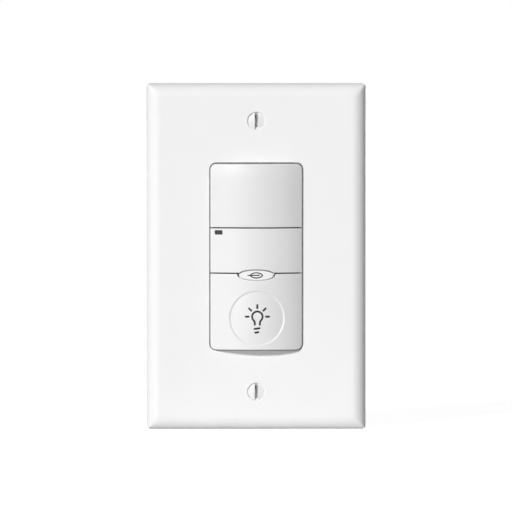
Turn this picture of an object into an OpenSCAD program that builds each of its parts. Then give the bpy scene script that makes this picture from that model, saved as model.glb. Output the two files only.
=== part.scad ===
// Motion sensor light switch in a single-gang wall plate, all sizes in millimetres.
// Each piece is drawn face-on (x right, y up, z out of the wall, wall at z = 0)
// and upright() then stands it on the wall with its front towards -Y.

/* [Wall plate] */
// Width of the wall plate
plate_w = 78.5; // [72:0.5:92]
// Height of the wall plate
plate_h = 123.8; // [118:0.2:140]
// Height of the plate's face above the wall
plate_depth = 6.2; // [6:0.1:7.5]
// Wall thickness of the plate
plate_wall = 2.3; // [1.8:0.1:2.6]
// Radius of the rolled edge all round
plate_edge_r = 5; // [3:0.1:5.4]
// Rounding of the opening's front edge
opening_edge_r = 0.2; // [0.1:0.05:0.5]
// Corner radius of the outline
plate_corner_r = 1.6; // [0.8:0.1:3]
// Distance of each plate screw beyond its box screw
plate_screw_step = 6.75; // [6.4:0.05:7.4]
// Head diameter of the plate screws
plate_screw_head_d = 6.4; // [6:0.05:7]
// How far the screw heads sit below the face
plate_screw_sink = 0.6; // [0.3:0.05:0.7]
// Depth of the drive slot below the head's rim
plate_slot_d = 1.2; // [0.5:0.1:1.2]

/* [Face] */
// Width of the switch face
face_w = 32.7; // [31.5:0.1:33.5]
// Height of the switch face
face_h = 66.3; // [65:0.1:68]
// Corner radius of the face
face_corner_r = 2; // [1.4:0.1:2.6]
// Gap between the face and the plate's opening
face_gap = 0.45; // [0.35:0.05:0.6]
// How far the side edges stand above the plate
face_proud = 0.9; // [0.3:0.1:1.2]
// Height of the crown across the face
face_crown = 4.5; // [3.8:0.1:5.4]
// Wall of the centre panel and the paddle
panel_wall = 1.5; // [1.2:0.1:1.8]
// Gap between neighbouring panels
panel_gap = 0.4; // [0.3:0.05:0.6]
// Rounding of the panel ends
panel_edge_r = 0.25; // [0.15:0.05:0.6]
// Wall of the skirts that clip over the frame
skirt_wall = 1; // [0.8:0.1:1.2]
// Height of the gap between lens and centre panel
upper_gap_y = 10.3; // [9:0.05:12]
// Height of the gap between centre panel and paddle
lower_gap_y = -5.9; // [-6.6:0.1:-5.4]

/* [Sensor lens] */
// Bend radius of the lens field
lens_r = 33; // [32:1:44]
// Width of the flat bands at the lens sides
lens_band_w = 3.2; // [2.6:0.1:3.8]
// Height of the sloping band at the lens top
lens_top_band = 3; // [2.2:0.1:3.8]
// Slope of the band at the lens top
lens_top_tilt = 15; // [8:1:20]
// Wall of the lens
lens_wall = 1.2; // [1:0.1:1.4]
// Rows of lenslets inside the lens
lenslet_rows = 3; // [2:1:3]
// Lenslets in each row
lenslet_columns = 5; // [3:1:5]
// Diameter of a lenslet
lenslet_d = 4.2; // [3.4:0.1:4.6]
// Height of a lenslet
lenslet_h = 0.55; // [0.3:0.05:0.8]

/* [Light paddle] */
// Diameter of the round finger pad
pad_d = 19.2; // [16:0.2:21]
// Height of the pad's middle
pad_y = -21.9; // [-23:0.1:-20.6]
// Depth of the step round the pad
pad_rim = 0.3; // [0.2:0.05:0.45]
// How far the pad's middle lies below the paddle
pad_set = 0.05; // [0.02:0.01:0.1]
// Swing of the paddle in degrees
paddle_swing = 2; // [1:0.1:2.4]
// Distance of the pivot below the lower gap
pivot_drop = 3.6; // [3:0.1:4]
// Diameter of the pivot pins
pin_d = 1.8; // [1.4:0.1:1.9]
// Diameter of the post that works the switch
post_d = 4; // [3:0.2:5]

/* [Mode button] */
// Width of the oval button
mode_w = 12.4; // [11.6:0.2:14]
// Height of the oval button
mode_h = 3.5; // [3.2:0.1:4.2]
// Height of the button's middle
mode_y = -6.6; // [-6.9:0.1:-6.3]
// How far the button stands above the panels
mode_proud = 0.3; // [0.1:0.05:0.6]
// Travel of the button
mode_travel = 0.5; // [0.3:0.05:0.6]
// Gap round the button
mode_gap = 0.2; // [0.15:0.05:0.3]
// Diameter of the button's stem
stem_d = 4; // [3.2:0.2:4.6]

/* [Indicator] */
// Width of the indicator window
window_w = 2.5; // [2:0.05:3]
// Height of the indicator window
window_h = 1.3; // [1.1:0.05:1.6]
// Sideways place of the window
window_x = -13.5; // [-13.6:0.1:-12.6]
// Height of the window's middle
window_y = 8.65; // [5:0.05:8.75]

/* [Mounting strap] */
// Thickness of the strap
strap_t = 1.2; // [1:0.1:1.5]
// How far the strap stands beyond the housing at each side
strap_side = 0.5; // [0:0.1:1.5]
// How far the strap runs on beyond the plate screws
strap_run = 4.58; // [4:0.02:6]
// Width of the strap ends
strap_end_w = 22; // [18:0.5:24]
// Distance of the strap from the wall
strap_lift = 0.2; // [0.1:0.05:0.3]
// Distance between the two box screws
box_screw_pitch = 83.34; // [82.6:0.02:84]
// Free length of the box screws behind the wall
box_screw_l = 22; // [14:1:30]

/* [Front frame] */
// Wall of the neck that carries the panels
neck_wall = 1.4; // [1.2:0.1:1.6]
// Thickness of the flange behind the strap
flange_t = 2.2; // [1.8:0.1:3]
// Thickness of the deck under the centre panel
deck_t = 1.4; // [1.2:0.1:1.6]

/* [Rear housing] */
// Width of the rear housing
housing_w = 43; // [42.4:0.2:45]
// Height of the rear housing
housing_h = 66.5; // [66:0.1:67.5]
// Depth of the rear housing
housing_depth = 30; // [29:0.5:36]
// Wall of the rear housing
housing_wall = 1.8; // [1.4:0.1:2.2]
// Corner radius of the rear housing
housing_corner_r = 3; // [2:0.1:3.4]
// Rounding of the rear edges
housing_edge_r = 1.8; // [1:0.1:2.4]
// Depth of the terminal pockets
pocket_depth = 5; // [4.4:0.1:5.4]
// Height of the terminal pockets
pocket_h = 11; // [10:0.2:12]
// Distance of the terminals from the middle
terminal_y = 13; // [12:0.1:14]

/* [Electronics] */
// Thickness of both boards
board_t = 1.6; // [1.2:0.1:2]
// Diameter of the detector can
detector_d = 8.3; // [7:0.1:9]
// Height of the detector can
detector_h = 4.2; // [3.6:0.1:4.8]
// Height of the detector's middle
detector_y = 21.4; // [19:0.1:23]
// Height of a push switch body
switch_h = 3.5; // [3:0.1:3.8]
// Free height of a switch plunger
plunger_h = 1.5; // [1.2:0.1:1.6]
// Diameter of a switch plunger
plunger_d = 3.4; // [2.8:0.1:3.6]
// Height of the relay
relay_h = 15.2; // [12:0.2:16]

/* [Fits] */
// Radial clearance of pins that turn
running_gap = 0.05; // [0.02:0.01:0.08]
// Clearance of pieces that slide or are slipped in
slide_gap = 0.1; // [0.05:0.01:0.15]
// Clearance between the skirts and the neck
skirt_gap = 0.15; // [0.1:0.01:0.2]
// Clearance of screw threads in tapped holes
thread_gap = 0.03; // [0.02:0.01:0.05]

/* [Hidden] */
$fn = 96;
eps = 0.01;

// heights above the wall
strap_back = strap_lift;
strap_front = strap_back + strap_t;
face_edge_z = plate_depth + face_proud;
face_top_z = face_edge_z + face_crown;
panel_ledge = 1.4;
neck_top_z = face_edge_z - panel_ledge;
neck_low_z = neck_top_z - 1.5;
skirt_z = strap_front + 0.5;
flange_back = strap_back - flange_t;
board_standoff = 2;
board_front = flange_back - board_standoff;
board_back = board_front - board_t;
switch_top = board_front + switch_h;
plunger_top = switch_top + plunger_h;
plunger_gap = 0.1;
housing_back = flange_back - housing_depth;
housing_floor = housing_back + housing_wall;
power_post_h = 3;
power_back = housing_floor + power_post_h;
power_front = power_back + board_t;

// outlines
plate_screw_pitch = box_screw_pitch + 2 * plate_screw_step;
strap_w = housing_w + 2 * strap_side;
strap_l = plate_screw_pitch + 2 * strap_run;
opening_w = face_w + 2 * face_gap;
opening_h = face_h + 2 * face_gap;
neck_w = face_w - 2 * (skirt_wall + skirt_gap);
neck_h = face_h - 2 * (skirt_wall + skirt_gap);
neck_r = max(face_corner_r - skirt_wall - skirt_gap, 0.5);
neck_in_w = neck_w - 2 * neck_wall;
neck_in_h = neck_h - 2 * neck_wall;
strap_window_gap = 0.2;
strap_side_h = 74;

// the crowned face is a drum about an upright axis
face_r = (pow(face_w / 2, 2) + pow(face_crown, 2)) / (2 * face_crown);
face_axis_z = face_top_z - face_r;
function face_sag(x) = face_r - sqrt(pow(face_r, 2) - pow(x, 2));

// lens outline: a flatter arc between two straight side bands
lens_field = face_w / 2 - lens_band_w;
lens_axis_z = face_top_z - lens_r;
lens_field_z = lens_axis_z + sqrt(pow(lens_r, 2) - pow(lens_field, 2));
lens_slope = (lens_field_z - face_edge_z) / lens_band_w;
lens_bottom_y = upper_gap_y + panel_gap / 2;
lens_crease_y = face_h / 2 - lens_top_band;

// paddle
paddle_top_y = lower_gap_y - panel_gap / 2;
pivot_y = lower_gap_y - pivot_drop;
pivot_z = neck_top_z - 1.5;
paddle_skirt_z = strap_front + (pivot_y + face_h / 2) * sin(paddle_swing) + 0.3;
pad_sag = face_sag(pad_d / 2) + pad_rim - pad_set;
pad_bend_r = (pow(pad_d / 2, 2) + pow(pad_sag, 2)) / (2 * pad_sag);
pad_top_z = face_top_z - pad_set;
pad_barrel_sag = pad_rim - pad_set;
pad_barrel_r = (pow(pad_d / 2, 2) + pow(pad_barrel_sag, 2)) / (2 * pad_barrel_sag);

// mode button: two arcs meeting in blunt tips
mode_tip = 0.45;
mode_rise = 0.05;
mode_arc_r = (pow(mode_w / 2 + mode_tip, 2) + pow(mode_h / 2, 2)) / mode_h;
mode_flange_side = 0.3;
mode_flange_lap = 1.2;
mode_flange_t = 1;
mode_flange_gap = 0.15;
mode_flange_r = face_r - panel_wall - mode_flange_gap;
mode_flange_z = face_axis_z - mode_flange_t
  + sqrt(pow(mode_flange_r, 2) - pow(mode_w / 2 + mode_flange_side, 2));

// deck of the frame under the centre panel
deck_z = neck_top_z - 2.4;
deck_top = deck_z + deck_t;
deck_low_y = pivot_y - 3;
guide_wall = 1.4;
guide_top = deck_top + 1;

// light pipe
pipe_x = -neck_in_w / 2 + 0.35;
pipe_w = 2;
pipe_step_z = neck_top_z + 0.3;
led_h = 0.8;

// screws
thread_r = 1.75;
sink_angle = 41;
plate_head_r = plate_screw_head_d / 2;
plate_head_z = plate_depth - plate_screw_sink;
plate_cone_h = (plate_head_r - thread_r) / tan(sink_angle);
plate_dome_h = 0.5;
box_head_d = 6.6;
box_head_h = 1.9;
box_neck_r = 1.45;
retainer_t = 0.8;
plate_boss_r = plate_screw_step - box_head_d / 2 - 0.25;
house_screw_r = 1.4;
house_screw_in = 3.6;
house_screw_x = housing_w / 2 - house_screw_in;
house_screw_y = housing_h / 2 - house_screw_in;
house_boss_r = 3.4;
house_head_r = 2.4;
house_head_h = 2;
house_head_gap = 0.2;
house_bore_gap = 0.2;
house_cross_l = 3.4;
house_cross_w = 0.8;
house_cross_d = 1.1;
house_grip = 18;
house_head_z = flange_back - house_grip;
screw_tip_h = 0.8;
plate_screw_l = 4;
drive_slot_w = 1.2;
retainer_w = 8;
ground_flange_r = 3.6;
ground_flange_t = 0.8;
ground_hex_r = 3.2;
ground_hex_h = 1.9;

// ground tab, bent back from the strap's lower edge
tab_in = 7;
tab_x = strap_w / 2 - tab_in;
tab_w = 8;
tab_z = -10;
tab_y = -strap_side_h / 2;
tab_screw_z = -5;

// boards and terminals
board_w = neck_in_w + 2.6;
board_h = housing_h - 2 * (housing_wall + 0.6);
board_rest_w = 1.3;
board_rest_l = 8;
board_rest_y = board_h / 2 - 8.85;
link_x = 8.6;
link_y = -19.4;
link_pins = 4;
link_pitch = 2.54;
link_w = 2.5;
link_h = 2.5;
link_pin_w = 0.64;
power_side = 1.7;
power_end = 6.45;
power_w = housing_w - 2 * (housing_wall + power_side);
power_h = housing_h - 2 * (housing_wall + power_end);
pillar_r = 2;
pillar_x = board_w / 2 - 3.6;
pillar_y = board_h / 2 - 2.85;
power_post_x = power_w / 2 - 4;
power_post_y = power_h / 2 - 4.5;
pocket_x = housing_w / 2 - pocket_depth;
pocket_wall = 1.4;
pocket_top = board_back - 3.4;
pocket_len = 12;
clamp_t = 1;
clamp_w = 6;
clamp_x = pocket_x + clamp_t;
clamp_leg_x = pocket_x - 4.2;
clamp_z = pocket_top - pocket_len + clamp_t;
clamp_top = pocket_top - clamp_t;
terminal_screw_r = 1.9;
terminal_head_r = 3.6;
terminal_head_h = 2.2;
terminal_screw_z = pocket_top - 5.4;
barrier_t = 1.2;
barrier_out = 0.8;
barrier_y = terminal_y - pocket_h / 2 - 3;
barrier_l = 20;
field_w = 26;
field_h = 40;
field_d = 0.5;
gauge_w = 2.4;
gauge_l = 16;
gauge_d = 0.5;
gauge_y = -field_h / 2 + 5;

// small parts on the sensor board
led_w = 1.8;
led_l = 1.3;
day_x = 9;
day_y = lens_bottom_y + 5;
day_w = 3.2;
day_l = 2.6;
day_h = 0.9;
day_dome_r = 1;
day_dome_h = 0.5;
chip_w = 7;
chip_h = 1.5;
chip_y = 4;
chip_pins = 8;
chip_pitch = 0.8;
chip_pin_w = 0.35;
chip_pin_l = 1.4;
chip_foot = 0.1;
switch_w = 6;
lead_circle = 2.54;
lead_r = 0.25;
lead_hole_r = 0.5;
can_foot = 1;
can_rim = 0.6;

// parts on the power board
relay_w = 15.4;
relay_l = 19;
relay_foot = 0.6;
relay_step = 0.5;
relay_y = power_h / 2 - relay_l / 2 - 3.5;
film_w = 6;
film_l = 13;
film_h = 12;
film_x = -7;
film_y = -7;
storage_r = 4;
storage_h = 12.5;
storage_groove_r = 0.6;
storage_x = 3.6;
storage_y = -6;
varistor_r = 4.5;
varistor_t = 3.6;
varistor_z = 6;
varistor_lead_r = 0.4;
varistor_lead_x = 2.5;
varistor_x = 12.6;
varistor_y = -3.5;
choke_r = 4;
choke_core_r = 3.3;
choke_cheek = 1.4;
choke_h = 9;
choke_x = -7.4;
choke_y = -20;
fuse_w = 4;
fuse_l = 8;
fuse_h = 7.6;
fuse_y = -20;
TERMINALS = [[1, terminal_y], [1, -terminal_y], [-1, terminal_y]];

module upright() {
  rotate([90, 0, 0]) children();
}

// outline with round corners
module rounded(w, h, r) {
  square([w - 2 * r, h], center = true);
  square([w, h - 2 * r], center = true);
  for (sx = [-1, 1], sy = [-1, 1])
    translate([sx * (w / 2 - r), sy * (h / 2 - r)]) circle(r = r);
}

module slab(w, h, r, z0, z1) {
  translate([0, 0, z0]) linear_extrude(height = z1 - z0) rounded(w, h, r);
}

module block(x, y, w, h, z0, z1) {
  translate([x - w / 2, y - h / 2, z0]) cube([w, h, z1 - z0]);
}

module rod(x, y, r, z0, z1) {
  translate([x, y, z0]) cylinder(r = r, h = z1 - z0);
}

// cross section with its two outer corners rounded
module rolled_section(w, d, r) {
  translate([-w / 2, 0]) square([w, d - r]);
  translate([-w / 2 + r, 0]) square([w - 2 * r, d]);
  for (s = [-1, 1])
    translate([s * (w / 2 - r), d - r]) circle(r = r);
}

module along_y(length) {
  rotate([90, 0, 0]) linear_extrude(height = length, center = true) children();
}

module along_x(length) {
  rotate([90, 0, 90]) linear_extrude(height = length, center = true) children();
}

// block whose front edges are rolled on all four sides and mitred at the corners
module rolled_block(w, h, d, edge_r, corner_r) {
  intersection() {
    slab(w, h, corner_r, 0, d);
    along_y(h + 2) rolled_section(w, d, edge_r);
    along_x(w + 2) rolled_section(h, d, edge_r);
  }
}

// outline of the switch face moved in by inset
module face_prism(inset, z0, z1) {
  slab(face_w - 2 * inset, face_h - 2 * inset, max(face_corner_r - inset, 0.4), z0, z1);
}

// drum about the upright axis of the face, with rounded ends
module face_drum(r, y0, y1, e) {
  translate([0, 0, face_axis_z]) rotate([-90, 0, 0]) rotate_extrude() {
    translate([0, y0]) square([r - e, y1 - y0]);
    translate([0, y0 + e]) square([r, y1 - y0 - 2 * e]);
    translate([r - e, y0 + e]) circle(r = e);
    translate([r - e, y1 - e]) circle(r = e);
  }
}

module plain_drum(r, y0, y1) {
  translate([0, y0, face_axis_z]) rotate([-90, 0, 0]) cylinder(r = r, h = y1 - y0);
}

module panel_blank(y0, y1, z0) {
  intersection() {
    face_prism(0, z0, face_top_z + 1);
    face_drum(face_r, y0, y1, panel_edge_r);
  }
}

// hollow of a panel: the seat over the neck and the arched room above it
module panel_hollow(y0, y1, wall) {
  intersection() {
    face_prism(skirt_wall, 0, neck_top_z);
    block(0, (y0 + y1) / 2, face_w, y1 - y0, -1, face_top_z);
  }
  intersection() {
    face_prism(skirt_wall + skirt_gap + neck_wall, 0, face_top_z);
    plain_drum(face_r - wall, y0, y1);
  }
}

// oval of two arcs, with blunt or open tips
module oval(grow, blunt) {
  intersection() {
    translate([0, mode_h / 2 - mode_arc_r]) circle(r = mode_arc_r + grow);
    translate([0, mode_arc_r - mode_h / 2]) circle(r = mode_arc_r + grow);
    circle(r = blunt ? mode_w / 2 + grow : mode_w);
  }
}

// cut for the button in both panels, a little higher than the button
module mode_notch() {
  translate([0, mode_y + mode_rise, 0]) linear_extrude(height = face_top_z + 2) oval(mode_gap, false);
}

// bead of a skirt and the groove for it in the neck
module snap_line(y, length, r) {
  for (s = [-1, 1])
    translate([s * (face_w / 2 - skirt_wall), y + length / 2, skirt_z + 1.1])
      rotate([90, 0, 0]) cylinder(r = r, h = length);
}

module slot_cut(x, y, z, w) {
  block(x, y, w, 12, z, z + 4);
}

// rounding tool for the front edge of an opening with round corners
module edge_cove(w, h, r, e, z) {
  for (s = [-1, 1]) {
    translate([s * w / 2, 0, z]) rotate([0, 0, s > 0 ? 0 : 180]) along_y(h - 2 * r) cove_section(0, e);
    translate([0, s * h / 2, z]) rotate([0, 0, s > 0 ? 90 : -90]) along_y(w - 2 * r) cove_section(0, e);
    for (t = [-1, 1])
      translate([s * (w / 2 - r), t * (h / 2 - r), z]) rotate_extrude() cove_section(r, e);
  }
}

module cove_section(r, e) {
  difference() {
    translate([r - e / 2, -e]) square([1.5 * e, 2 * e]);
    translate([r + e, -e]) circle(r = e);
  }
}

module wall_plate() {
  hollow_z = plate_depth - plate_wall;
  color("white") upright() difference() {
    union() {
      difference() {
        rolled_block(plate_w, plate_h, plate_depth, plate_edge_r, plate_corner_r);
        translate([0, 0, -eps])
          rolled_block(plate_w - 2 * plate_wall, plate_h - 2 * plate_wall, hollow_z + eps,
                       max(plate_edge_r - plate_wall, 0.5), 0.8);
      }
      slab(opening_w + 2.8, opening_h + 2.8, face_corner_r + face_gap + 1.4,
           strap_front + 1, hollow_z + 0.5);
      for (s = [-1, 1]) {
        rod(0, s * plate_screw_pitch / 2, plate_boss_r, strap_front, hollow_z + 0.5);
        block(s * plate_w / 3, 0, 1.2, plate_h - 2 * plate_wall - 4, hollow_z - 1, hollow_z + 0.5);
        for (x = [-1, 1])
          block(x * (plate_w / 3 + strap_w / 2) / 2, s * plate_h / 6, plate_w / 3 - 14, 1.2,
                hollow_z - 1, hollow_z + 0.5);
      }
    }
    slab(opening_w, opening_h, face_corner_r + face_gap, -1, plate_depth + 1);
    edge_cove(opening_w, opening_h, face_corner_r + face_gap, opening_edge_r, plate_depth);
    for (s = [-1, 1]) translate([0, s * plate_screw_pitch / 2, 0]) {
      rod(0, 0, thread_r + 0.25, -1, plate_depth + 1);
      translate([0, 0, plate_head_z - plate_cone_h])
        cylinder(r1 = thread_r + slide_gap / 4, r2 = plate_head_r + slide_gap / 4 + tan(sink_angle),
                 h = plate_cone_h + 1);
    }
  }
}

module plate_screws() {
  dome_r = (pow(plate_head_r, 2) + pow(plate_dome_h, 2)) / (2 * plate_dome_h);
  cone_z = plate_head_z - plate_cone_h;
  color("whitesmoke") upright() for (s = [-1, 1])
    translate([0, s * plate_screw_pitch / 2, 0]) difference() {
      rotate_extrude() {
        polygon([[0, -plate_screw_l - screw_tip_h], [thread_r - screw_tip_h, -plate_screw_l - screw_tip_h],
                 [thread_r, -plate_screw_l], [thread_r, cone_z], [plate_head_r, plate_head_z],
                 [0, plate_head_z]]);
        intersection() {
          translate([0, plate_head_z + plate_dome_h - dome_r]) circle(r = dome_r);
          translate([0, plate_head_z]) square([plate_head_r, plate_dome_h + 1]);
        }
      }
      slot_cut(0, 0, plate_head_z - plate_slot_d, drive_slot_w);
    }
}

module mounting_strap() {
  ear_x = strap_end_w / 2 + 2.4;
  ear_y = strap_l / 2 - 5.2;
  color("silver") upright() difference() {
    union() {
      slab(strap_w, strap_side_h, 2.5, strap_back, strap_front);
      slab(strap_end_w, strap_l, 2, strap_back, strap_front);
      for (sx = [-1, 1], sy = [-1, 1])
        rod(sx * ear_x, sy * ear_y, 4.9, strap_back, strap_front);
      block(tab_x, tab_y + strap_t / 2, tab_w, strap_t, tab_z, strap_front);
    }
    slab(neck_w + 2 * strap_window_gap, neck_h + 2 * strap_window_gap,
         neck_r + strap_window_gap, -1, strap_front + 1);
    for (s = [-1, 1]) {
      rod(0, s * plate_screw_pitch / 2, thread_r + thread_gap, -1, strap_front + 1);
      translate([0, s * box_screw_pitch / 2, 0]) slab(7.4, 4.2, 2.05, -1, strap_front + 1);
      for (x = [-1, 1]) {
        block(x * (strap_end_w / 2 - 0.6), s * (ear_y + 2.4), 0.8, 3.2, -1, strap_front + 1);
        block(x * (strap_end_w / 2 - 0.6), s * (ear_y - 2.4), 0.8, 3.2, -1, strap_front + 1);
      }
    }
    for (sx = [-1, 1], sy = [-1, 1])
      rod(sx * house_screw_x, sy * house_screw_y, house_screw_r + thread_gap, -1, strap_front + 1);
    translate([tab_x, tab_y + strap_t + 1, tab_screw_z]) rotate([90, 0, 0])
      cylinder(r = thread_r + thread_gap, h = strap_t + 2);
  }
}

module box_screws() {
  thread_z = strap_back - retainer_t - 0.2;
  color("gainsboro") upright() for (s = [-1, 1])
    translate([0, s * box_screw_pitch / 2, 0]) difference() {
      union() {
        rod(0, 0, box_head_d / 2, strap_front, strap_front + box_head_h - 0.6);
        translate([0, 0, strap_front + box_head_h - 0.6])
          cylinder(r1 = box_head_d / 2, r2 = box_head_d / 2 - 0.9, h = 0.6);
        rod(0, 0, box_neck_r, thread_z - 0.5, strap_front + 0.5);
        rod(0, 0, thread_r, -box_screw_l, thread_z);
        translate([0, 0, -box_screw_l - screw_tip_h])
          cylinder(r1 = thread_r - screw_tip_h, r2 = thread_r, h = screw_tip_h);
      }
      slot_cut(0, 0, strap_front + box_head_h - 1.1, 1.1);
      block(0, 0, 12, 1.1, strap_front + box_head_h - 1.1, strap_front + 4);
    }
}

module screw_retainers() {
  color("tan") upright() for (s = [-1, 1])
    translate([0, s * box_screw_pitch / 2, 0]) difference() {
      slab(retainer_w, retainer_w, 1, strap_back - retainer_t, strap_back);
      rod(0, 0, box_neck_r + slide_gap / 2, -3, 2);
    }
}

module ground_screw() {
  color("seagreen") upright() translate([tab_x, tab_y, tab_screw_z]) rotate([90, 0, 0])
    difference() {
      union() {
        cylinder(r = ground_flange_r, h = ground_flange_t);
        translate([0, 0, ground_flange_t - 0.1]) cylinder(r = ground_hex_r, h = ground_hex_h, $fn = 6);
        translate([0, 0, -strap_t - 1.4]) cylinder(r = thread_r, h = strap_t + 1.5);
      }
      block(0, 0, 1.1, 12, ground_flange_t + 0.7, 6);
    }
}

module front_frame() {
  color("dimgray") upright() difference() {
    union() {
      slab(housing_w, housing_h, housing_corner_r, flange_back, strap_back);
      slab(neck_w, neck_h, neck_r, flange_back, neck_top_z);
      for (sx = [-1, 1], sy = [-1, 1])
        block(sx * (board_w - board_rest_w) / 2, sy * board_rest_y, board_rest_w, board_rest_l,
              board_front, flange_back + 0.5);
      frame_baffle();
    }
    difference() {
      slab(neck_in_w, neck_in_h, 0.8, flange_back - 1, neck_top_z + 1);
      frame_deck();
      frame_baffle();
    }
    // lower rim where the paddle dips
    block(0, deck_low_y - face_h / 2, face_w + 2, face_h, neck_low_z, neck_top_z + 1);
    snap_line((lens_bottom_y + lens_crease_y) / 2, 9, 0.5);
    snap_line((upper_gap_y + lower_gap_y) / 2, 9, 0.5);
    for (s = [-1, 1])
      translate([s * face_w / 2, pivot_y, pivot_z]) rotate([0, -s * 90, 0])
        cylinder(r = pin_d / 2 + running_gap, h = (face_w - neck_in_w) / 2 + 0.5);
    rod(0, mode_y, stem_d / 2 + slide_gap, flange_back, guide_top + 2);
    block(pipe_x + pipe_w / 2 - 0.25, window_y, pipe_w + 0.7, window_h + 2 * slide_gap,
          deck_z - 1, deck_top + 1);
    for (sx = [-1, 1], sy = [-1, 1])
      rod(sx * house_screw_x, sy * house_screw_y, house_screw_r + house_bore_gap,
          flange_back - 1, strap_back + 1);
  }
}

// what stays inside the neck: the deck and the button guide
module frame_deck() {
  difference() {
    block(0, (deck_low_y + upper_gap_y) / 2, neck_w, upper_gap_y - deck_low_y, deck_z, deck_top);
    block(0, pivot_y, neck_in_w - 3, pin_d + 1.4, deck_z - 1, deck_top + 1);
  }
  rod(0, mode_y, stem_d / 2 + slide_gap + guide_wall, deck_z, guide_top);
}

// wall between the lens chamber and the indicator
module frame_baffle() {
  intersection() {
    block(0, upper_gap_y, neck_in_w - 0.4, 1.6, flange_back, face_top_z);
    plain_drum(face_r - panel_wall - 0.3, upper_gap_y - 2, upper_gap_y + 2);
  }
  block(0, upper_gap_y, neck_w - neck_wall, 1.6, flange_back, neck_top_z);
}

// lens section moved in by inset, across the face
module lens_section(inset) {
  apex_z = face_edge_z + lens_slope * face_w / 2 - inset * sqrt(1 + pow(lens_slope, 2));
  half = face_w / 2 + 1;
  intersection() {
    translate([0, lens_axis_z]) circle(r = lens_r - inset, $fn = 240);
    polygon([[-half, 0], [half, 0], [half, apex_z - lens_slope * half],
             [0, apex_z], [-half, apex_z - lens_slope * half]]);
  }
}

// the section run up the face and bent back at the crease
module lens_bulk(inset) {
  intersection() {
    along_y(face_h + 40) lens_section(inset);
    translate([0, lens_crease_y, face_top_z]) rotate([-lens_top_tilt, 0, 0])
      translate([0, 0, -face_top_z]) along_y(face_h + 40) lens_section(inset);
  }
}

module lenslet() {
  ball_r = (pow(lenslet_d / 2, 2) + pow(lenslet_h, 2)) / (2 * lenslet_h);
  intersection() {
    translate([0, 0, ball_r - lenslet_h]) sphere(r = ball_r);
    translate([0, 0, -lenslet_h - 1]) cylinder(r = lenslet_d, h = lenslet_h + 1.35);
  }
}

module lenslet_array() {
  row_pitch = lenslet_d + 0.9;
  angle_pitch = (lenslet_d + 0.7) / (lens_r - lens_wall) * 180 / PI;
  middle_y = (lens_bottom_y + lens_crease_y) / 2;
  for (row = [0 : lenslet_rows - 1], column = [0 : lenslet_columns - 1])
    translate([0, middle_y + (row - (lenslet_rows - 1) / 2) * row_pitch, lens_axis_z])
      rotate([0, (column - (lenslet_columns - 1) / 2) * angle_pitch, 0])
        translate([0, 0, lens_r - lens_wall]) lenslet();
}

module sensor_lens() {
  color("ghostwhite") upright() difference() {
    union() {
      difference() {
        intersection() {
          face_prism(0, skirt_z, face_top_z + 1);
          lens_bulk(0);
          block(0, lens_bottom_y + face_h / 2, face_w + 2, face_h, 0, face_top_z + 1);
        }
        face_prism(skirt_wall, 0, neck_top_z);
        intersection() {
          face_prism(skirt_wall + skirt_gap + neck_wall, 0, face_top_z);
          lens_bulk(lens_wall);
        }
      }
      lenslet_array();
      intersection() {
        snap_line((lens_bottom_y + lens_crease_y) / 2, 8, 0.35);
        face_prism(0.2, 0, face_top_z);
      }
    }
  }
}

module centre_panel() {
  low_y = lower_gap_y + panel_gap / 2;
  high_y = upper_gap_y - panel_gap / 2;
  color("white") upright() difference() {
    union() {
      difference() {
        panel_blank(low_y, high_y, skirt_z);
        panel_hollow(low_y - 1, high_y + 1, panel_wall);
      }
      intersection() {
        snap_line((upper_gap_y + lower_gap_y) / 2, 8, 0.35);
        face_prism(0.2, 0, face_top_z);
      }
    }
    mode_notch();
    block(window_x, window_y, window_w + 2 * slide_gap, window_h + 2 * slide_gap,
          neck_top_z - 1, face_top_z + 1);
  }
}

module indicator_window() {
  left = window_x - window_w / 2;
  right = window_x + window_w / 2;
  foot = board_front + led_h + 0.2;
  lip = pipe_x + pipe_w + 1.2;
  color("dimgray") upright() intersection() {
    translate([0, window_y, 0]) along_y(window_h)
      polygon([[left, pipe_step_z], [left, face_top_z], [right, face_top_z], [right, deck_top + 0.9],
               [lip, deck_top + 0.9], [lip, deck_top], [pipe_x + pipe_w, deck_top],
               [pipe_x + pipe_w, foot], [pipe_x, foot], [pipe_x, pipe_step_z]]);
    plain_drum(face_r, window_y - 5, window_y + 5);
  }
}

// round pad: a barrel a little tighter than the face, so its rim drops all round
module pad_barrel() {
  translate([0, pad_y, pad_top_z - pad_bend_r]) rotate([-90, 0, 0]) rotate_extrude()
    intersection() {
      translate([pad_bend_r - pad_barrel_r, 0]) circle(r = pad_barrel_r, $fn = 720);
      translate([0, -pad_d]) square([pad_bend_r + 1, 2 * pad_d]);
    }
}

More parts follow.
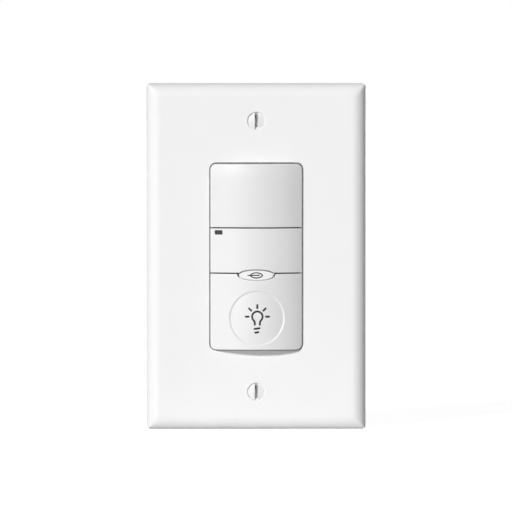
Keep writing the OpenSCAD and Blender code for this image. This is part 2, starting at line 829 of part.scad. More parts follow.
module light_paddle() {
  pin_l = skirt_gap + neck_wall - 0.1;
  tip_z = plunger_top + plunger_gap;
  shell_mid = face_r - panel_wall / 2;
  color("white") upright() difference() {
    union() {
      difference() {
        union() {
          difference() {
            panel_blank(-face_h / 2, paddle_top_y, paddle_skirt_z);
            rod(0, pad_y, pad_d / 2, face_edge_z, face_top_z + 2);
          }
          intersection() {
            rod(0, pad_y, pad_d / 2, face_edge_z - 1, face_top_z + 2);
            pad_barrel();
          }
        }
        intersection() {
          face_prism(skirt_wall, 0, face_top_z);
          plain_drum(face_r - panel_wall, -face_h, face_h);
        }
      }
      // post over the switch, with ribs up into the shell
      intersection() {
        union() {
          rod(0, pad_y, post_d / 2, tip_z + 1, face_top_z);
          translate([0, pad_y, tip_z]) cylinder(r1 = post_d / 2 - 1, r2 = post_d / 2, h = 1);
          block(0, pad_y, 1.2, pad_d, face_edge_z, face_top_z);
          block(0, pad_y, pad_d, 1.2, face_edge_z, face_top_z);
        }
        plain_drum(shell_mid, -face_h, face_h);
      }
      for (s = [-1, 1])
        translate([s * (face_w / 2 - skirt_wall / 2), pivot_y, pivot_z]) rotate([0, -s * 90, 0])
          cylinder(r = pin_d / 2, h = skirt_wall / 2 + pin_l);
    }
    mode_notch();
  }
}

module mode_button() {
  tip_z = plunger_top + plunger_gap;
  color("white") upright() union() {
    intersection() {
      translate([0, mode_y, mode_flange_z]) linear_extrude(height = face_top_z) oval(0, true);
      plain_drum(face_r + mode_proud, mode_y - 5, mode_y + 5);
    }
    intersection() {
      translate([0, mode_y, 0])
        slab(mode_w + 2 * mode_flange_side, mode_h + 2 * mode_flange_lap, 1.2, mode_flange_z, face_top_z);
      plain_drum(mode_flange_r, mode_y - 5, mode_y + 5);
    }
    rod(0, mode_y, stem_d / 2, tip_z, mode_flange_z + 0.5);
  }
}

// walls of a terminal pocket, or the pocket itself
module pocket_box(side, y, grow) {
  depth = pocket_depth + grow;
  translate([side > 0 ? housing_w / 2 - depth : -housing_w / 2 - 1, y - pocket_h / 2 - grow,
             pocket_top - pocket_len - grow])
    cube([depth + 1, pocket_h + 2 * grow, pocket_len + 2 * grow]);
}

module rear_housing() {
  color("gray") upright() difference() {
    union() {
      difference() {
        translate([0, 0, flange_back]) rotate([0, 180, 0])
          rolled_block(housing_w, housing_h, housing_depth, housing_edge_r, housing_corner_r);
        slab(housing_w - 2 * housing_wall, housing_h - 2 * housing_wall,
             housing_corner_r - housing_wall + 0.4, housing_floor, flange_back + 1);
      }
      intersection() {
        translate([0, 0, flange_back]) rotate([0, 180, 0])
          rolled_block(housing_w, housing_h, housing_depth, housing_edge_r, housing_corner_r);
        union() {
          for (t = TERMINALS) pocket_box(t[0], t[1], pocket_wall);
          for (sx = [-1, 1], sy = [-1, 1]) {
            rod(sx * house_screw_x, sy * house_screw_y, house_boss_r, housing_back + 1, flange_back);
            block(sx * (house_screw_x + 2), sy * (house_screw_y + 2), 4, 4, housing_back + 1, flange_back);
            rod(sx * pillar_x, sy * pillar_y, pillar_r, housing_floor - 0.5, board_back);
            rod(sx * power_post_x, sy * power_post_y, pillar_r, housing_floor - 0.5, power_back);
          }
        }
      }
      // barrier ribs beside the terminals
      for (sx = [-1, 1], sy = [-1, 1])
        block(sx * (housing_w / 2 - housing_wall / 2 + barrier_out), sy * barrier_y, housing_wall, barrier_t,
              flange_back - barrier_l, flange_back);
    }
    for (t = TERMINALS) {
      pocket_box(t[0], t[1], 0);
      translate([t[0] * housing_w / 2, t[1], terminal_screw_z]) rotate([0, -t[0] * 90, 0])
        cylinder(r = terminal_screw_r + 0.15, h = pocket_depth + 4);
      block(t[0] * (pocket_x - pocket_wall), t[1], 4 * pocket_wall, clamp_w + 2 * slide_gap,
            clamp_z - slide_gap, clamp_z + clamp_t + slide_gap);
    }
    for (sx = [-1, 1], sy = [-1, 1]) {
      rod(sx * house_screw_x, sy * house_screw_y, house_screw_r + house_bore_gap,
          housing_back - 1, flange_back + 1);
      rod(sx * house_screw_x, sy * house_screw_y, house_head_r + house_head_gap,
          housing_back - 1, house_head_z);
    }
    // shallow field on the back, with a gauge for stripped wire ends
    slab(field_w, field_h, 2, housing_back - 1, housing_back + field_d);
    translate([0, gauge_y, 0])
      slab(gauge_l, gauge_w, gauge_w / 2 - 0.05, housing_back - 1, housing_back + field_d + gauge_d);
  }
}

module housing_screws() {
  head_back = house_head_z - house_head_h;
  color("silver") upright() for (sx = [-1, 1], sy = [-1, 1])
    translate([sx * house_screw_x, sy * house_screw_y, 0]) difference() {
      union() {
        rod(0, 0, house_head_r, head_back, house_head_z);
        rod(0, 0, house_screw_r, house_head_z - 0.5, strap_front - 0.1);
      }
      block(0, 0, house_cross_l, house_cross_w, head_back - 1, head_back + house_cross_d);
      block(0, 0, house_cross_w, house_cross_l, head_back - 1, head_back + house_cross_d);
    }
}

module sensor_board() {
  color("darkgreen") upright() difference() {
    slab(board_w, board_h, 1, board_back, board_front);
    for (a = [0, 120, 240])
      translate([0, detector_y, 0]) rotate([0, 0, a])
        rod(0, lead_circle, lead_hole_r, board_back - 1, board_front + 1);
    link_holes(board_back, board_front);
    for (sx = [-1, 1], sy = [-1, 1])
      rod(sx * house_screw_x, sy * house_screw_y, house_boss_r + 0.4, board_back - 1, board_front + 1);
  }
}

module link_holes(z0, z1) {
  for (i = [0 : link_pins - 1])
    rod(link_x, link_y + (i - (link_pins - 1) / 2) * link_pitch, 0.55, z0 - 1, z1 + 1);
}

module detector_can() {
  base = board_front + can_foot;
  color("silver") upright() translate([0, detector_y, 0]) difference() {
    union() {
      rod(0, 0, detector_d / 2 + can_rim, base, base + can_rim);
      rod(0, 0, detector_d / 2, base, base + detector_h);
      for (a = [0, 120, 240]) rotate([0, 0, a])
        rod(0, lead_circle, lead_r, board_back - 1.5, base + 0.3);
    }
    block(0, 0, detector_d * 0.55, detector_d * 0.4, base + detector_h - 0.4, base + detector_h + 1);
  }
}

module detector_window() {
  top = board_front + can_foot + detector_h;
  color("black") upright()
    block(0, detector_y, detector_d * 0.55 - 2 * slide_gap, detector_d * 0.4 - 2 * slide_gap,
          top - 0.4, top - 0.05);
}

module detector_spacer() {
  color("ivory") upright() translate([0, detector_y, 0]) difference() {
    rod(0, 0, detector_d / 2, board_front, board_front + can_foot);
    for (a = [0, 120, 240])
      rotate([0, 0, a]) rod(0, lead_circle, lead_hole_r, board_front - 1, board_front + can_foot + 1);
  }
}

module status_led() {
  color("palegreen") upright()
    block(pipe_x + pipe_w / 2, window_y, led_w, led_l, board_front, board_front + led_h);
}

module daylight_sensor() {
  color("lightgray") upright() {
    block(day_x, day_y, day_w, day_l, board_front, board_front + day_h);
    rod(day_x, day_y, day_dome_r, board_front + day_h / 2, board_front + day_h + day_dome_h);
  }
}

module controller_chip() {
  color("black") upright() {
    block(0, chip_y, chip_w, chip_w, board_back - chip_h, board_back - chip_foot);
    for (i = [0 : chip_pins - 1], s = [-1, 1]) {
      along = (i - (chip_pins - 1) / 2) * chip_pitch;
      out = s * (chip_w + chip_pin_l - 0.6) / 2;
      block(out, chip_y + along, chip_pin_l, chip_pin_w, board_back - 3 * chip_foot, board_back);
      block(along, chip_y + out, chip_pin_w, chip_pin_l, board_back - 3 * chip_foot, board_back);
    }
  }
}

module push_switch(y) {
  difference() {
    block(0, y, switch_w, switch_w, board_front, switch_top);
    rod(0, y, plunger_d / 2 + slide_gap, switch_top - 2.4, switch_top + 1);
  }
}

module push_plunger(y) {
  rod(0, y, plunger_d / 2, switch_top - 1.4, plunger_top);
}

module paddle_switch() {
  color("black") upright() push_switch(pad_y);
}

module paddle_plunger() {
  color("saddlebrown") upright() push_plunger(pad_y);
}

module mode_switch() {
  color("black") upright() push_switch(mode_y);
}

module mode_plunger() {
  color("saddlebrown") upright() push_plunger(mode_y);
}

module board_link() {
  color("dimgray") upright() {
    block(link_x, link_y, link_w, link_pins * link_pitch, power_front, power_front + link_h);
    block(link_x, link_y, link_w, link_pins * link_pitch, board_back - link_h, board_back);
    for (i = [0 : link_pins - 1])
      block(link_x, link_y + (i - (link_pins - 1) / 2) * link_pitch, link_pin_w, link_pin_w,
            power_back - 1, board_front + 1);
  }
}

module power_board() {
  color("darkgreen") upright() difference() {
    slab(power_w, power_h, 1, power_back, power_front);
    link_holes(power_back, power_front);
  }
}

module relay() {
  color("royalblue") upright() translate([0, relay_y, 0]) {
    slab(relay_w, relay_l, 0.8, power_front + relay_foot, power_front + relay_h);
    slab(relay_w - 2 * relay_step, relay_l - 2 * relay_step, 0.8, power_front, power_front + 1);
  }
}

module film_capacitor() {
  color("gold") upright() translate([film_x, film_y, 0])
    slab(film_w, film_l, 0.7, power_front, power_front + film_h);
}

module storage_capacitor() {
  color("midnightblue") upright() translate([storage_x, storage_y, power_front])
    rotate_extrude() difference() {
      square([storage_r, storage_h]);
      translate([storage_r + 0.25, 1.6]) circle(r = storage_groove_r, $fn = 32);
      translate([-1, storage_h - 0.4]) square([storage_r - 0.6, 1]);
    }
}

module varistor() {
  color("steelblue") upright() {
    translate([varistor_x, varistor_y + varistor_t / 2, power_front + varistor_z])
      rotate([90, 0, 0]) cylinder(r = varistor_r, h = varistor_t);
    for (s = [-1, 1])
      rod(varistor_x + s * varistor_lead_x, varistor_y, varistor_lead_r,
          power_front, power_front + varistor_z - 2);
  }
}

module choke() {
  color("saddlebrown") upright() translate([choke_x, choke_y, power_front]) rotate_extrude() {
    square([choke_r, choke_cheek]);
    square([choke_core_r, choke_h]);
    translate([0, choke_h - choke_cheek]) square([choke_r, choke_cheek]);
  }
}

module fuse() {
  color("black") upright() translate([0, fuse_y, 0])
    slab(fuse_w, fuse_l, 0.5, power_front, power_front + fuse_h);
}

module terminal_clamp(side, y) {
  translate([0, y, 0]) rotate([0, 0, side > 0 ? 0 : 180]) difference() {
    along_y(clamp_w)
      polygon([[clamp_x, clamp_top], [clamp_x, clamp_z], [clamp_leg_x + clamp_t, clamp_z],
               [clamp_leg_x + clamp_t, power_front], [clamp_leg_x, power_front],
               [clamp_leg_x, clamp_z + clamp_t], [pocket_x, clamp_z + clamp_t],
               [pocket_x, clamp_top]]);
    translate([pocket_x - clamp_t, 0, terminal_screw_z]) rotate([0, 90, 0])
      cylinder(r = terminal_screw_r + thread_gap, h = 3 * clamp_t);
  }
}

module line_terminal() {
  color("goldenrod") upright() terminal_clamp(TERMINALS[0][0], TERMINALS[0][1]);
}

module load_terminal() {
  color("goldenrod") upright() terminal_clamp(TERMINALS[1][0], TERMINALS[1][1]);
}

module neutral_terminal() {
  color("silver") upright() terminal_clamp(TERMINALS[2][0], TERMINALS[2][1]);
}

module terminal_screws() {
  color("goldenrod") upright() for (t = TERMINALS)
    translate([0, t[1], terminal_screw_z]) rotate([0, 0, t[0] > 0 ? 0 : 180]) rotate([0, 90, 0])
      difference() {
        union() {
          rod(0, 0, terminal_head_r, clamp_x, clamp_x + terminal_head_h);
          rod(0, 0, terminal_screw_r, clamp_x - 5, clamp_x + 0.5);
        }
        slot_cut(0, 0, clamp_x + terminal_head_h - 1, drive_slot_w);
        block(0, 0, 12, drive_slot_w, clamp_x + terminal_head_h - 1, clamp_x + 6);
      }
}

wall_plate();
plate_screws();
mounting_strap();
box_screws();
screw_retainers();
ground_screw();
front_frame();
sensor_lens();
centre_panel();
indicator_window();
light_paddle();
mode_button();
rear_housing();
housing_screws();
sensor_board();
detector_can();
detector_window();
detector_spacer();
status_led();
daylight_sensor();
controller_chip();
paddle_switch();
paddle_plunger();
mode_switch();
mode_plunger();
board_link();
power_board();
relay();
film_capacitor();
storage_capacitor();
varistor();
choke();
fuse();
line_terminal();
load_terminal();
neutral_terminal();
terminal_screws();
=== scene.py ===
"""Motion sensor light switch: the looks of the part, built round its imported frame.

Sizes are in millimetres in the drawing frame of the face: x right, y up, z out of
the wall. Each finished piece is turned upright and stored in metres in the row frame.
"""

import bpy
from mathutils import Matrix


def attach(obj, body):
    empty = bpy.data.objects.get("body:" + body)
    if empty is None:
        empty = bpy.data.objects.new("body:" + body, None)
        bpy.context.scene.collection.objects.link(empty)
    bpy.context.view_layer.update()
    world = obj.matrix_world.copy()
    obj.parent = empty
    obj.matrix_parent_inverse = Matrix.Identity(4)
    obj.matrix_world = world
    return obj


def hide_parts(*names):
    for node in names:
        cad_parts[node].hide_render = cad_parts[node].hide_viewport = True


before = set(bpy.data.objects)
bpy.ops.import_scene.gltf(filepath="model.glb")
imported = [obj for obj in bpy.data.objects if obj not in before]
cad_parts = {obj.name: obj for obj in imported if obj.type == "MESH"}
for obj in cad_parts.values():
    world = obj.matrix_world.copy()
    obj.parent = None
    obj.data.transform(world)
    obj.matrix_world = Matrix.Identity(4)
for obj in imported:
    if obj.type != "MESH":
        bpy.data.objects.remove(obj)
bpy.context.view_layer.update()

import logging
import math
from dataclasses import dataclass, field
from enum import Enum
from typing import Callable, Dict, List, Optional, Sequence, Tuple

import bmesh
import bpy
import numpy as np
from mathutils import Matrix, Vector
from mathutils.geometry import delaunay_2d_cdt

Point = Tuple[float, float]
Triple = Tuple[float, float, float]
Line = Sequence[Sequence[float]]
Height = Callable[[float, float], float]
Socket = bpy.types.NodeSocket

LOG = logging.getLogger("switch")
MM = 0.001
QUARTER = math.pi / 2
UPRIGHT = Matrix(((1, 0, 0, 0), (0, 0, -1, 0), (0, 1, 0, 0), (0, 0, 0, 1)))
SHARP = math.radians(38)  # smooth shading ends at keener edges
SAME_POINT = 1e-4  # outline points this near are one
STRAIGHT = 0.02  # edges that turn less than this count as straight
CAD_WELD = 1e-6  # corners of a CAD node this near, in metres, are one
COAT_ROUGHNESS = 0.12
CLOUD_DETAIL, GRAIN_DETAIL = 2.0, 3.0
DRIFT_SPAN = (0.3, 0.7)  # part of the noise over which the colour drifts
SHEEN_SPAN = (0.88, 1.12)  # roughness drifts between these shares
BAND_SCALE, BAND_WAVER = 0.16, 0.6
BOARD_DISORDER = 0.35
FIBRE_STRETCH = (1.0, 1.0, 0.15)
BARE_AND_SHADE_FADE = 0.25


class Body(Enum):
    """Moving bodies of the part that pieces ride on."""

    DEVICE = "device"
    PADDLE = "paddle"
    MODE_KEY = "mode_key"


class Grain(Enum):
    """Surface structure of a finish."""

    MOULDED = "moulded"
    SPANGLE = "spangle"
    TURNED = "turned"
    FIBRE = "fibre"
    BOARD = "board"
    WOUND = "wound"


class Wires:
    """Node tree that is being wired."""

    def __init__(self, tree: bpy.types.NodeTree) -> None:
        """Takes the tree to work on."""
        self.tree = tree

    def wire(self, value: object, socket: Socket) -> None:
        """Links a socket to an input, or sets a plain value there.

        Args:
            value: Socket or plain value.
            socket: Input that gets it.
        """
        if isinstance(value, bpy.types.NodeSocket):
            self.tree.links.new(value, socket)
        else:
            socket.default_value = value

    def feed(self, node: bpy.types.Node, **wires: object) -> bpy.types.Node:
        """Sets or links inputs of a node.

        Args:
            node: Node to feed.
            wires: Value or socket for each input, with _ for a space in its name.

        Returns:
            The node.
        """
        for label, value in wires.items():
            self.wire(value, node.inputs[label.replace("_", " ")])
        return node

    def node(self, kind: str, settings: Optional[Dict[str, str]] = None,
             **wires: object) -> bpy.types.Node:
        """Adds a node and feeds it.

        Args:
            kind: Type of the node.
            settings: Properties of the node itself.
            wires: Inputs, as for feed.

        Returns:
            The node.
        """
        made = self.tree.nodes.new(kind)
        for label, value in (settings or {}).items():
            setattr(made, label, value)
        return self.feed(made, **wires)

    def out(self, kind: str, settings: Optional[Dict[str, str]] = None, **wires: object) -> Socket:
        """Adds a node, as node does, and gives its first output."""
        return self.node(kind, settings, **wires).outputs[0]

    def maths(self, operation: str, *values: object) -> Socket:
        """Adds a math node.

        Args:
            operation: What it works out.
            values: Value or socket of each input.

        Returns:
            The socket of the result.
        """
        made = self.node("ShaderNodeMath", {"operation": operation})
        for value, socket in zip(values, made.inputs):
            self.wire(value, socket)
        return made.outputs[0]

    def vector(self, x: object, y: object, z: object) -> Socket:
        """Joins three values or sockets into a vector."""
        return self.out("ShaderNodeCombineXYZ", X=x, Y=y, Z=z)

    def noise(self, place: Socket, size_mm: float, detail: float) -> Socket:
        """Adds noise with blotches of a given size."""
        scale = 1.0 / (size_mm * MM)
        return self.out("ShaderNodeTexNoise", Vector=place, Scale=scale, Detail=detail)


@dataclass(frozen=True)
class Finish:
    """Procedural finish of one material slot.

    Colours are linear. grain_mm is the size of the fine structure, relief_mm its
    depth, cloud_mm the size of the soft colour drift and drift its strength. A painted
    front may end in a darker colour, bare_and_shade, below paint_end_and_shade_mm above
    the wall: partly bare metal under the paint, partly painted shade in recesses such
    as screw slots.
    """

    slot: str
    colour: Triple
    roughness: float
    grain: Grain = Grain.MOULDED
    metallic: float = 0.0
    grain_mm: float = 0.28
    relief_mm: float = 0.006
    cloud_mm: float = 14.0
    drift: float = 0.02
    specular: float = 0.5
    coat: float = 0.0
    # darker colour below the paint's end: partly bare metal, partly painted shade in recesses
    bare_and_shade: Optional[Triple] = None
    paint_end_and_shade_mm: float = 0.0

    def material(self) -> bpy.types.Material:
        """Makes the material, or finds it if it is there already.

        Returns:
            The node material of this finish.
        """
        name = "finish_" + self.slot
        found = bpy.data.materials.get(name)
        if found:
            return found
        made = bpy.data.materials.new(name)
        made.use_nodes = True
        made.diffuse_color = (*self.colour, 1.0)
        tree = Wires(made.node_tree)
        place = tree.node("ShaderNodeTexCoord").outputs["Object"]
        cloud = tree.noise(place, self.cloud_mm, CLOUD_DETAIL)
        fine = self.structure(tree, place)
        even = self.grain in (Grain.MOULDED, Grain.TURNED)
        low, high = (min(1.0, self.roughness * share) for share in SHEEN_SPAN)
        sheen = tree.out("ShaderNodeMapRange", Value=cloud, To_Min=low, To_Max=high)
        bump = tree.out("ShaderNodeBump", Strength=1.0, Distance=self.relief_mm * MM, Height=fine)
        tree.feed(made.node_tree.nodes["Principled BSDF"], Metallic=self.metallic,
                  Specular_IOR_Level=self.specular, Coat_Weight=self.coat,
                  Coat_Roughness=COAT_ROUGHNESS, Roughness=sheen, Normal=bump,
                  Base_Color=self.tint(tree, cloud if even else fine, place))
        return made

    def structure(self, tree: Wires, place: Socket) -> Socket:
        """Adds the fine structure of the grain.

        Args:
            tree: Tree of the material.
            place: Object coordinates.

        Returns:
            The socket that carries the structure.
        """
        scale = 1.0 / (self.grain_mm * MM)
        if self.grain is Grain.SPANGLE:
            return tree.out("ShaderNodeTexVoronoi", Vector=place, Scale=scale)
        if self.grain is Grain.BOARD:
            return tree.out("ShaderNodeTexVoronoi", {"distance": "CHEBYCHEV"}, Vector=place,
                            Scale=scale, Randomness=BOARD_DISORDER)
        if self.grain in (Grain.TURNED, Grain.WOUND):
            return tree.node("ShaderNodeTexWave", {"wave_type": "BANDS", "bands_direction": "Y"},
                             Vector=place, Scale=scale * BAND_SCALE,
                             Distortion=BAND_WAVER).outputs["Fac"]
        if self.grain is Grain.FIBRE:
            along = tree.out("ShaderNodeMapping", Vector=place, Scale=FIBRE_STRETCH)
            return tree.noise(along, self.grain_mm, CLOUD_DETAIL)
        return tree.noise(place, self.grain_mm, GRAIN_DETAIL)

    def tint(self, tree: Wires, share: Socket, place: Socket) -> Socket:
        """Adds the drifting colour, darker below the paint's end: partly bare metal, partly painted
        shade.

        Args:
            tree: Tree of the material.
            share: Noise that the colour follows.
            place: Object coordinates.

        Returns:
            The socket that carries the colour.
        """
        ramp = tree.node("ShaderNodeValToRGB", Fac=share)
        low, high = ramp.color_ramp.elements
        low.position, high.position = DRIFT_SPAN
        low.color = (*[c * (1 - self.drift) for c in self.colour], 1.0)
        high.color = (*[min(1.0, c * (1 + self.drift)) for c in self.colour], 1.0)
        if not self.bare_and_shade:
            return ramp.outputs["Color"]
        # Below the paint's end the colour goes darker: partly bare metal, partly painted shade in
        # the screw slots.
        depth = tree.node("ShaderNodeSeparateXYZ", Vector=place).outputs["Y"]
        bare_and_shade_share = tree.out("ShaderNodeMapRange", Value=depth, From_Min=-self.paint_end_and_shade_mm * MM,
                        From_Max=-(self.paint_end_and_shade_mm - BARE_AND_SHADE_FADE) * MM)
        return tree.node("ShaderNodeMix", {"data_type": "RGBA"}, Factor=bare_and_shade_share,
                         A=ramp.outputs["Color"], B=(*self.bare_and_shade, 1.0)).outputs["Result"]


FINISHES: Dict[str, Finish] = {finish.slot: finish for finish in (
    Finish("plate_white", (0.89, 0.89, 0.89), 0.55, relief_mm=0.002, drift=0.006, specular=0.15),
    Finish("face_white", (0.79, 0.79, 0.79), 0.45, relief_mm=0.004, drift=0.006),
    Finish("lens_white", (0.77, 0.77, 0.77), 0.5, relief_mm=0.003, drift=0.008),
    # The screws go darker below the dome: partly bare plated metal, partly painted shade on the
    # slot floors.
    Finish("screw_white", (0.82, 0.82, 0.82), 0.5, Grain.TURNED, grain_mm=0.5, relief_mm=0.002,
           drift=0.01, bare_and_shade=(0.55, 0.55, 0.56), paint_end_and_shade_mm=5.55),
    Finish("window_smoke", (0.05, 0.05, 0.05), 0.22, relief_mm=0.0005, drift=0.1, specular=0.3),
    Finish("chip_black", (0.03, 0.03, 0.031), 0.6, relief_mm=0.001, drift=0.08, specular=0.25),
    Finish("frame_grey", (0.1, 0.103, 0.107), 0.5, relief_mm=0.008, drift=0.06),
    Finish("housing_grey", (0.19, 0.195, 0.2), 0.48, grain_mm=0.4, relief_mm=0.012, drift=0.05),
    Finish("zinc_steel", (0.58, 0.59, 0.6), 0.34, Grain.SPANGLE, 1.0, 2.2, 0.004, drift=0.09),
    Finish("green_steel", (0.06, 0.24, 0.1), 0.32, Grain.TURNED, 0.75, 0.4, 0.003, drift=0.12),
    Finish("fibre", (0.42, 0.3, 0.17), 0.8, Grain.FIBRE, 0.0, 0.35, 0.02, drift=0.16),
    Finish("brass", (0.72, 0.5, 0.2), 0.3, Grain.TURNED, 1.0, 0.4, 0.003, drift=0.08),
    Finish("nickel", (0.62, 0.6, 0.56), 0.28, Grain.TURNED, 1.0, 0.4, 0.003, drift=0.06),
    Finish("can_metal", (0.6, 0.59, 0.56), 0.25, Grain.TURNED, 1.0, 0.3, 0.002, drift=0.06),
    Finish("board_green", (0.03, 0.16, 0.06), 0.4, Grain.BOARD, 0.0, 2.4, 0.03, drift=0.3,
           coat=0.3),
    Finish("filter_black", (0.02, 0.018, 0.022), 0.12, relief_mm=0.0005, drift=0.2, coat=0.5),
    Finish("spacer_white", (0.75, 0.73, 0.68), 0.5, drift=0.04),
    Finish("led_body", (0.5, 0.72, 0.5), 0.25, drift=0.05),
    Finish("plunger_brown", (0.25, 0.14, 0.08), 0.45, drift=0.1),
    Finish("relay_blue", (0.03, 0.11, 0.4), 0.42, drift=0.06),
    Finish("film_yellow", (0.72, 0.5, 0.06), 0.35, drift=0.08),
    Finish("sleeve_navy", (0.02, 0.03, 0.11), 0.3, drift=0.15),
    Finish("disc_blue", (0.05, 0.16, 0.42), 0.4, drift=0.12),
    Finish("coil_copper", (0.55, 0.24, 0.1), 0.3, Grain.WOUND, 0.8, 0.7, 0.15, drift=0.35),
)}
PLATE, FACE_PLASTIC, LENS, INK = "plate_white", "face_white", "lens_white", "chip_black"


class Pen:
    """Draws an outline point by point.

    deep marks the points where the outer wall runs down to the hem; elsewhere the
    edge is only as thick as the panel.
    """

    def __init__(self) -> None:
        """Starts an empty outline."""
        self.points: List[Point] = []
        self.deep: List[bool] = []

    def to(self, x: float, y: float, deep: bool = True) -> "Pen":
        """Adds one point, unless it repeats the last one.

        Args:
            x: Sideways place.
            y: Height.
            deep: Whether the wall runs down to the hem here.

        Returns:
            This pen.
        """
        if not self.points or math.dist(self.points[-1], (x, y)) > SAME_POINT:
            self.points.append((x, y))
            self.deep.append(deep)
        return self

    def run(self, x: float, y: float, step: float, deep: bool = True) -> "Pen":
        """Adds evenly spaced points up to a place.

        Args:
            x: Sideways place of the end.
            y: Height of the end.
            step: Largest distance between points.
            deep: Whether the wall runs down to the hem here.

        Returns:
            This pen.
        """
        x0, y0 = self.points[-1]
        count = max(1, math.ceil(math.dist((x0, y0), (x, y)) / step))
        for i in range(1, count + 1):
            self.to(x0 + (x - x0) * i / count, y0 + (y - y0) * i / count, deep)
        return self

    def arc(self, centre: Point, r: float, start: float, end: float, steps: int,
            deep: bool = True) -> "Pen":
        """Adds points on an arc.

        Args:
            centre: Its centre.
            r: Radius.
            start: First angle in radians.
            end: Last angle in radians.
            steps: Number of steps.
            deep: Whether the wall runs down to the hem here.

        Returns:
            This pen.
        """
        for i in range(steps + 1):
            a = start + (end - start) * i / steps
            self.to(centre[0] + r * math.cos(a), centre[1] + r * math.sin(a), deep)
        return self

    def outline(self) -> "Outline":
        """Closes the outline and hands it over.

        Returns:
            The outline, without a repeated last point.
        """
        if math.dist(self.points[0], self.points[-1]) < SAME_POINT:
            self.points.pop()
            self.deep.pop()
        return Outline(self.points, self.deep)


@dataclass
class Outline:
    """Closed outline, anticlockwise, or clockwise for a hole."""

    points: List[Point]
    deep: List[bool]

    def inset(self, distance: float, land: Optional[float] = None) -> List[Point]:
        """Moves every edge into the material.

        Args:
            distance: How far deep edges move.
            land: How far the other edges move, the same if left out.

        Returns:
            The moved points.
        """
        count = len(self.points)
        land = distance if land is None else land
        normals, moves = [], []
        for i, (x, y) in enumerate(self.points):
            x1, y1 = self.points[(i + 1) % count]
            length = math.dist((x, y), (x1, y1))
            normals.append((-(y1 - y) / length, (x1 - x) / length))
            moves.append(distance if self.deep[i] and self.deep[(i + 1) % count] else land)
        moved = []
        for i, (x, y) in enumerate(self.points):
            (ax, ay), (bx, by) = normals[i - 1], normals[i]
            da, db = moves[i - 1], moves[i]
            det = ax * by - ay * bx
            if abs(det) < STRAIGHT:
                mean = (da + db) / 2
                moved.append((x + (ax + bx) / 2 * mean, y + (ay + by) / 2 * mean))
            else:
                moved.append((x + (da * by - db * ay) / det, y + (ax * db - bx * da) / det))
        return moved


def inside(points: np.ndarray, loop: np.ndarray) -> np.ndarray:
    """Tells which points lie inside a loop.

    Args:
        points: Points, one per row.
        loop: Corners of the loop, one per row.

    Returns:
        True for each point inside.
    """
    x, y = points[:, :1], points[:, 1:]
    x0, y0 = loop[:, 0], loop[:, 1]
    x1, y1 = np.roll(x0, -1), np.roll(y0, -1)
    rise = np.where(y1 == y0, 1.0, y1 - y0)
    crossing = ((y0 > y) != (y1 > y)) & (x < (x1 - x0) * (y - y0) / rise + x0)
    return crossing.sum(1) % 2 == 1


def clearance(points: np.ndarray, loop: np.ndarray) -> np.ndarray:
    """Measures how far points are from a loop.

    Args:
        points: Points, one per row.
        loop: Corners of the loop, one per row.

    Returns:
        The distance of each point.
    """
    run = np.roll(loop, -1, 0) - loop
    along = ((points[:, None] - loop) * run).sum(-1) / (run * run).sum(-1)
    foot = loop + np.clip(along, 0, 1)[..., None] * run
    return np.linalg.norm(points[:, None] - foot, axis=-1).min(1)


def lattice(xs: Sequence[float], ys: Sequence[float]) -> np.ndarray:
    """Crosses two sets of lines into points, one per row."""
    return np.array([(x, y) for x in xs for y in ys])


def spaced(start: float, end: float, step: float) -> List[float]:
    """Spaces values evenly from start to end."""
    count = max(1, round((end - start) / step))
    return [start + (end - start) * i / count for i in range(count + 1)]


def spread(half: float, low: float, high: float, step: Point) -> np.ndarray:
    """Spreads points from -half to half sideways and from low to high, one per row."""
    return lattice(spaced(-half, half, step[0]), spaced(low, high, step[1]))


def soft_min(a: float, b: float, k: float) -> float:
    """Takes the lower of two heights with a rounded crease of size k."""
    return min(a, b) - max(k - abs(a - b), 0.0) ** 2 / (4 * k)


def soft_step(value: float, low: float, high: float) -> float:
    """Rises smoothly from 0 at low to 1 at high."""
    t = min(1.0, max(0.0, (value - low) / (high - low)))
    return t * t * (3 - 2 * t)


def show(name: str, data: bpy.types.ID) -> bpy.types.Object:
    """Puts data into the scene.

    Args:
        name: Name of the object.
        data: Mesh, light or camera.

    Returns:
        The new object.
    """
    obj = bpy.data.objects.new(name, data)
    bpy.context.scene.collection.objects.link(obj)
    return obj


def settle(source: bmesh.types.BMesh | bpy.types.Mesh, name: str, slot: str, body: Body,
           *nodes: str) -> bpy.types.Mesh:
    """Makes a finished mesh a piece that rides on a body.

    Args:
        source: Mesh in the row frame; a mesh under construction is freed.
        name: Name of the piece.
        slot: Slot of its finish.
        body: Body that it rides on.
        nodes: CAD nodes that it stands for.

    Returns:
        The mesh of the piece.
    """
    mesh = source
    if isinstance(source, bmesh.types.BMesh):
        mesh = bpy.data.meshes.new(name)
        source.to_mesh(mesh)
        source.free()
    mesh.materials.clear()
    mesh.materials.append(FINISHES[slot].material())
    mesh.polygons.foreach_set("material_index", [0] * len(mesh.polygons))
    mesh.polygons.foreach_set("use_smooth", [True] * len(mesh.polygons))
    mesh.set_sharp_from_angle(angle=SHARP)
    obj = show(name, mesh)
    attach(obj, body.value)
    if nodes:
        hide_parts(*nodes)
    LOG.info("%s: %d faces on %s", name, len(mesh.polygons), body.value)
    return mesh


def dress(slots: Dict[str, str]) -> None:
    """Gives CAD nodes their finishes.

    Args:
        slots: Slot of each node's finish, by the node's name.
    """
    for node, slot in slots.items():
        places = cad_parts[node].material_slots
        if not places:
            raise RuntimeError(f"{node} has no material slot")
        for place in places:
            place.material = FINISHES[slot].material()
        LOG.info("%s: dressed in %s", node, slot)


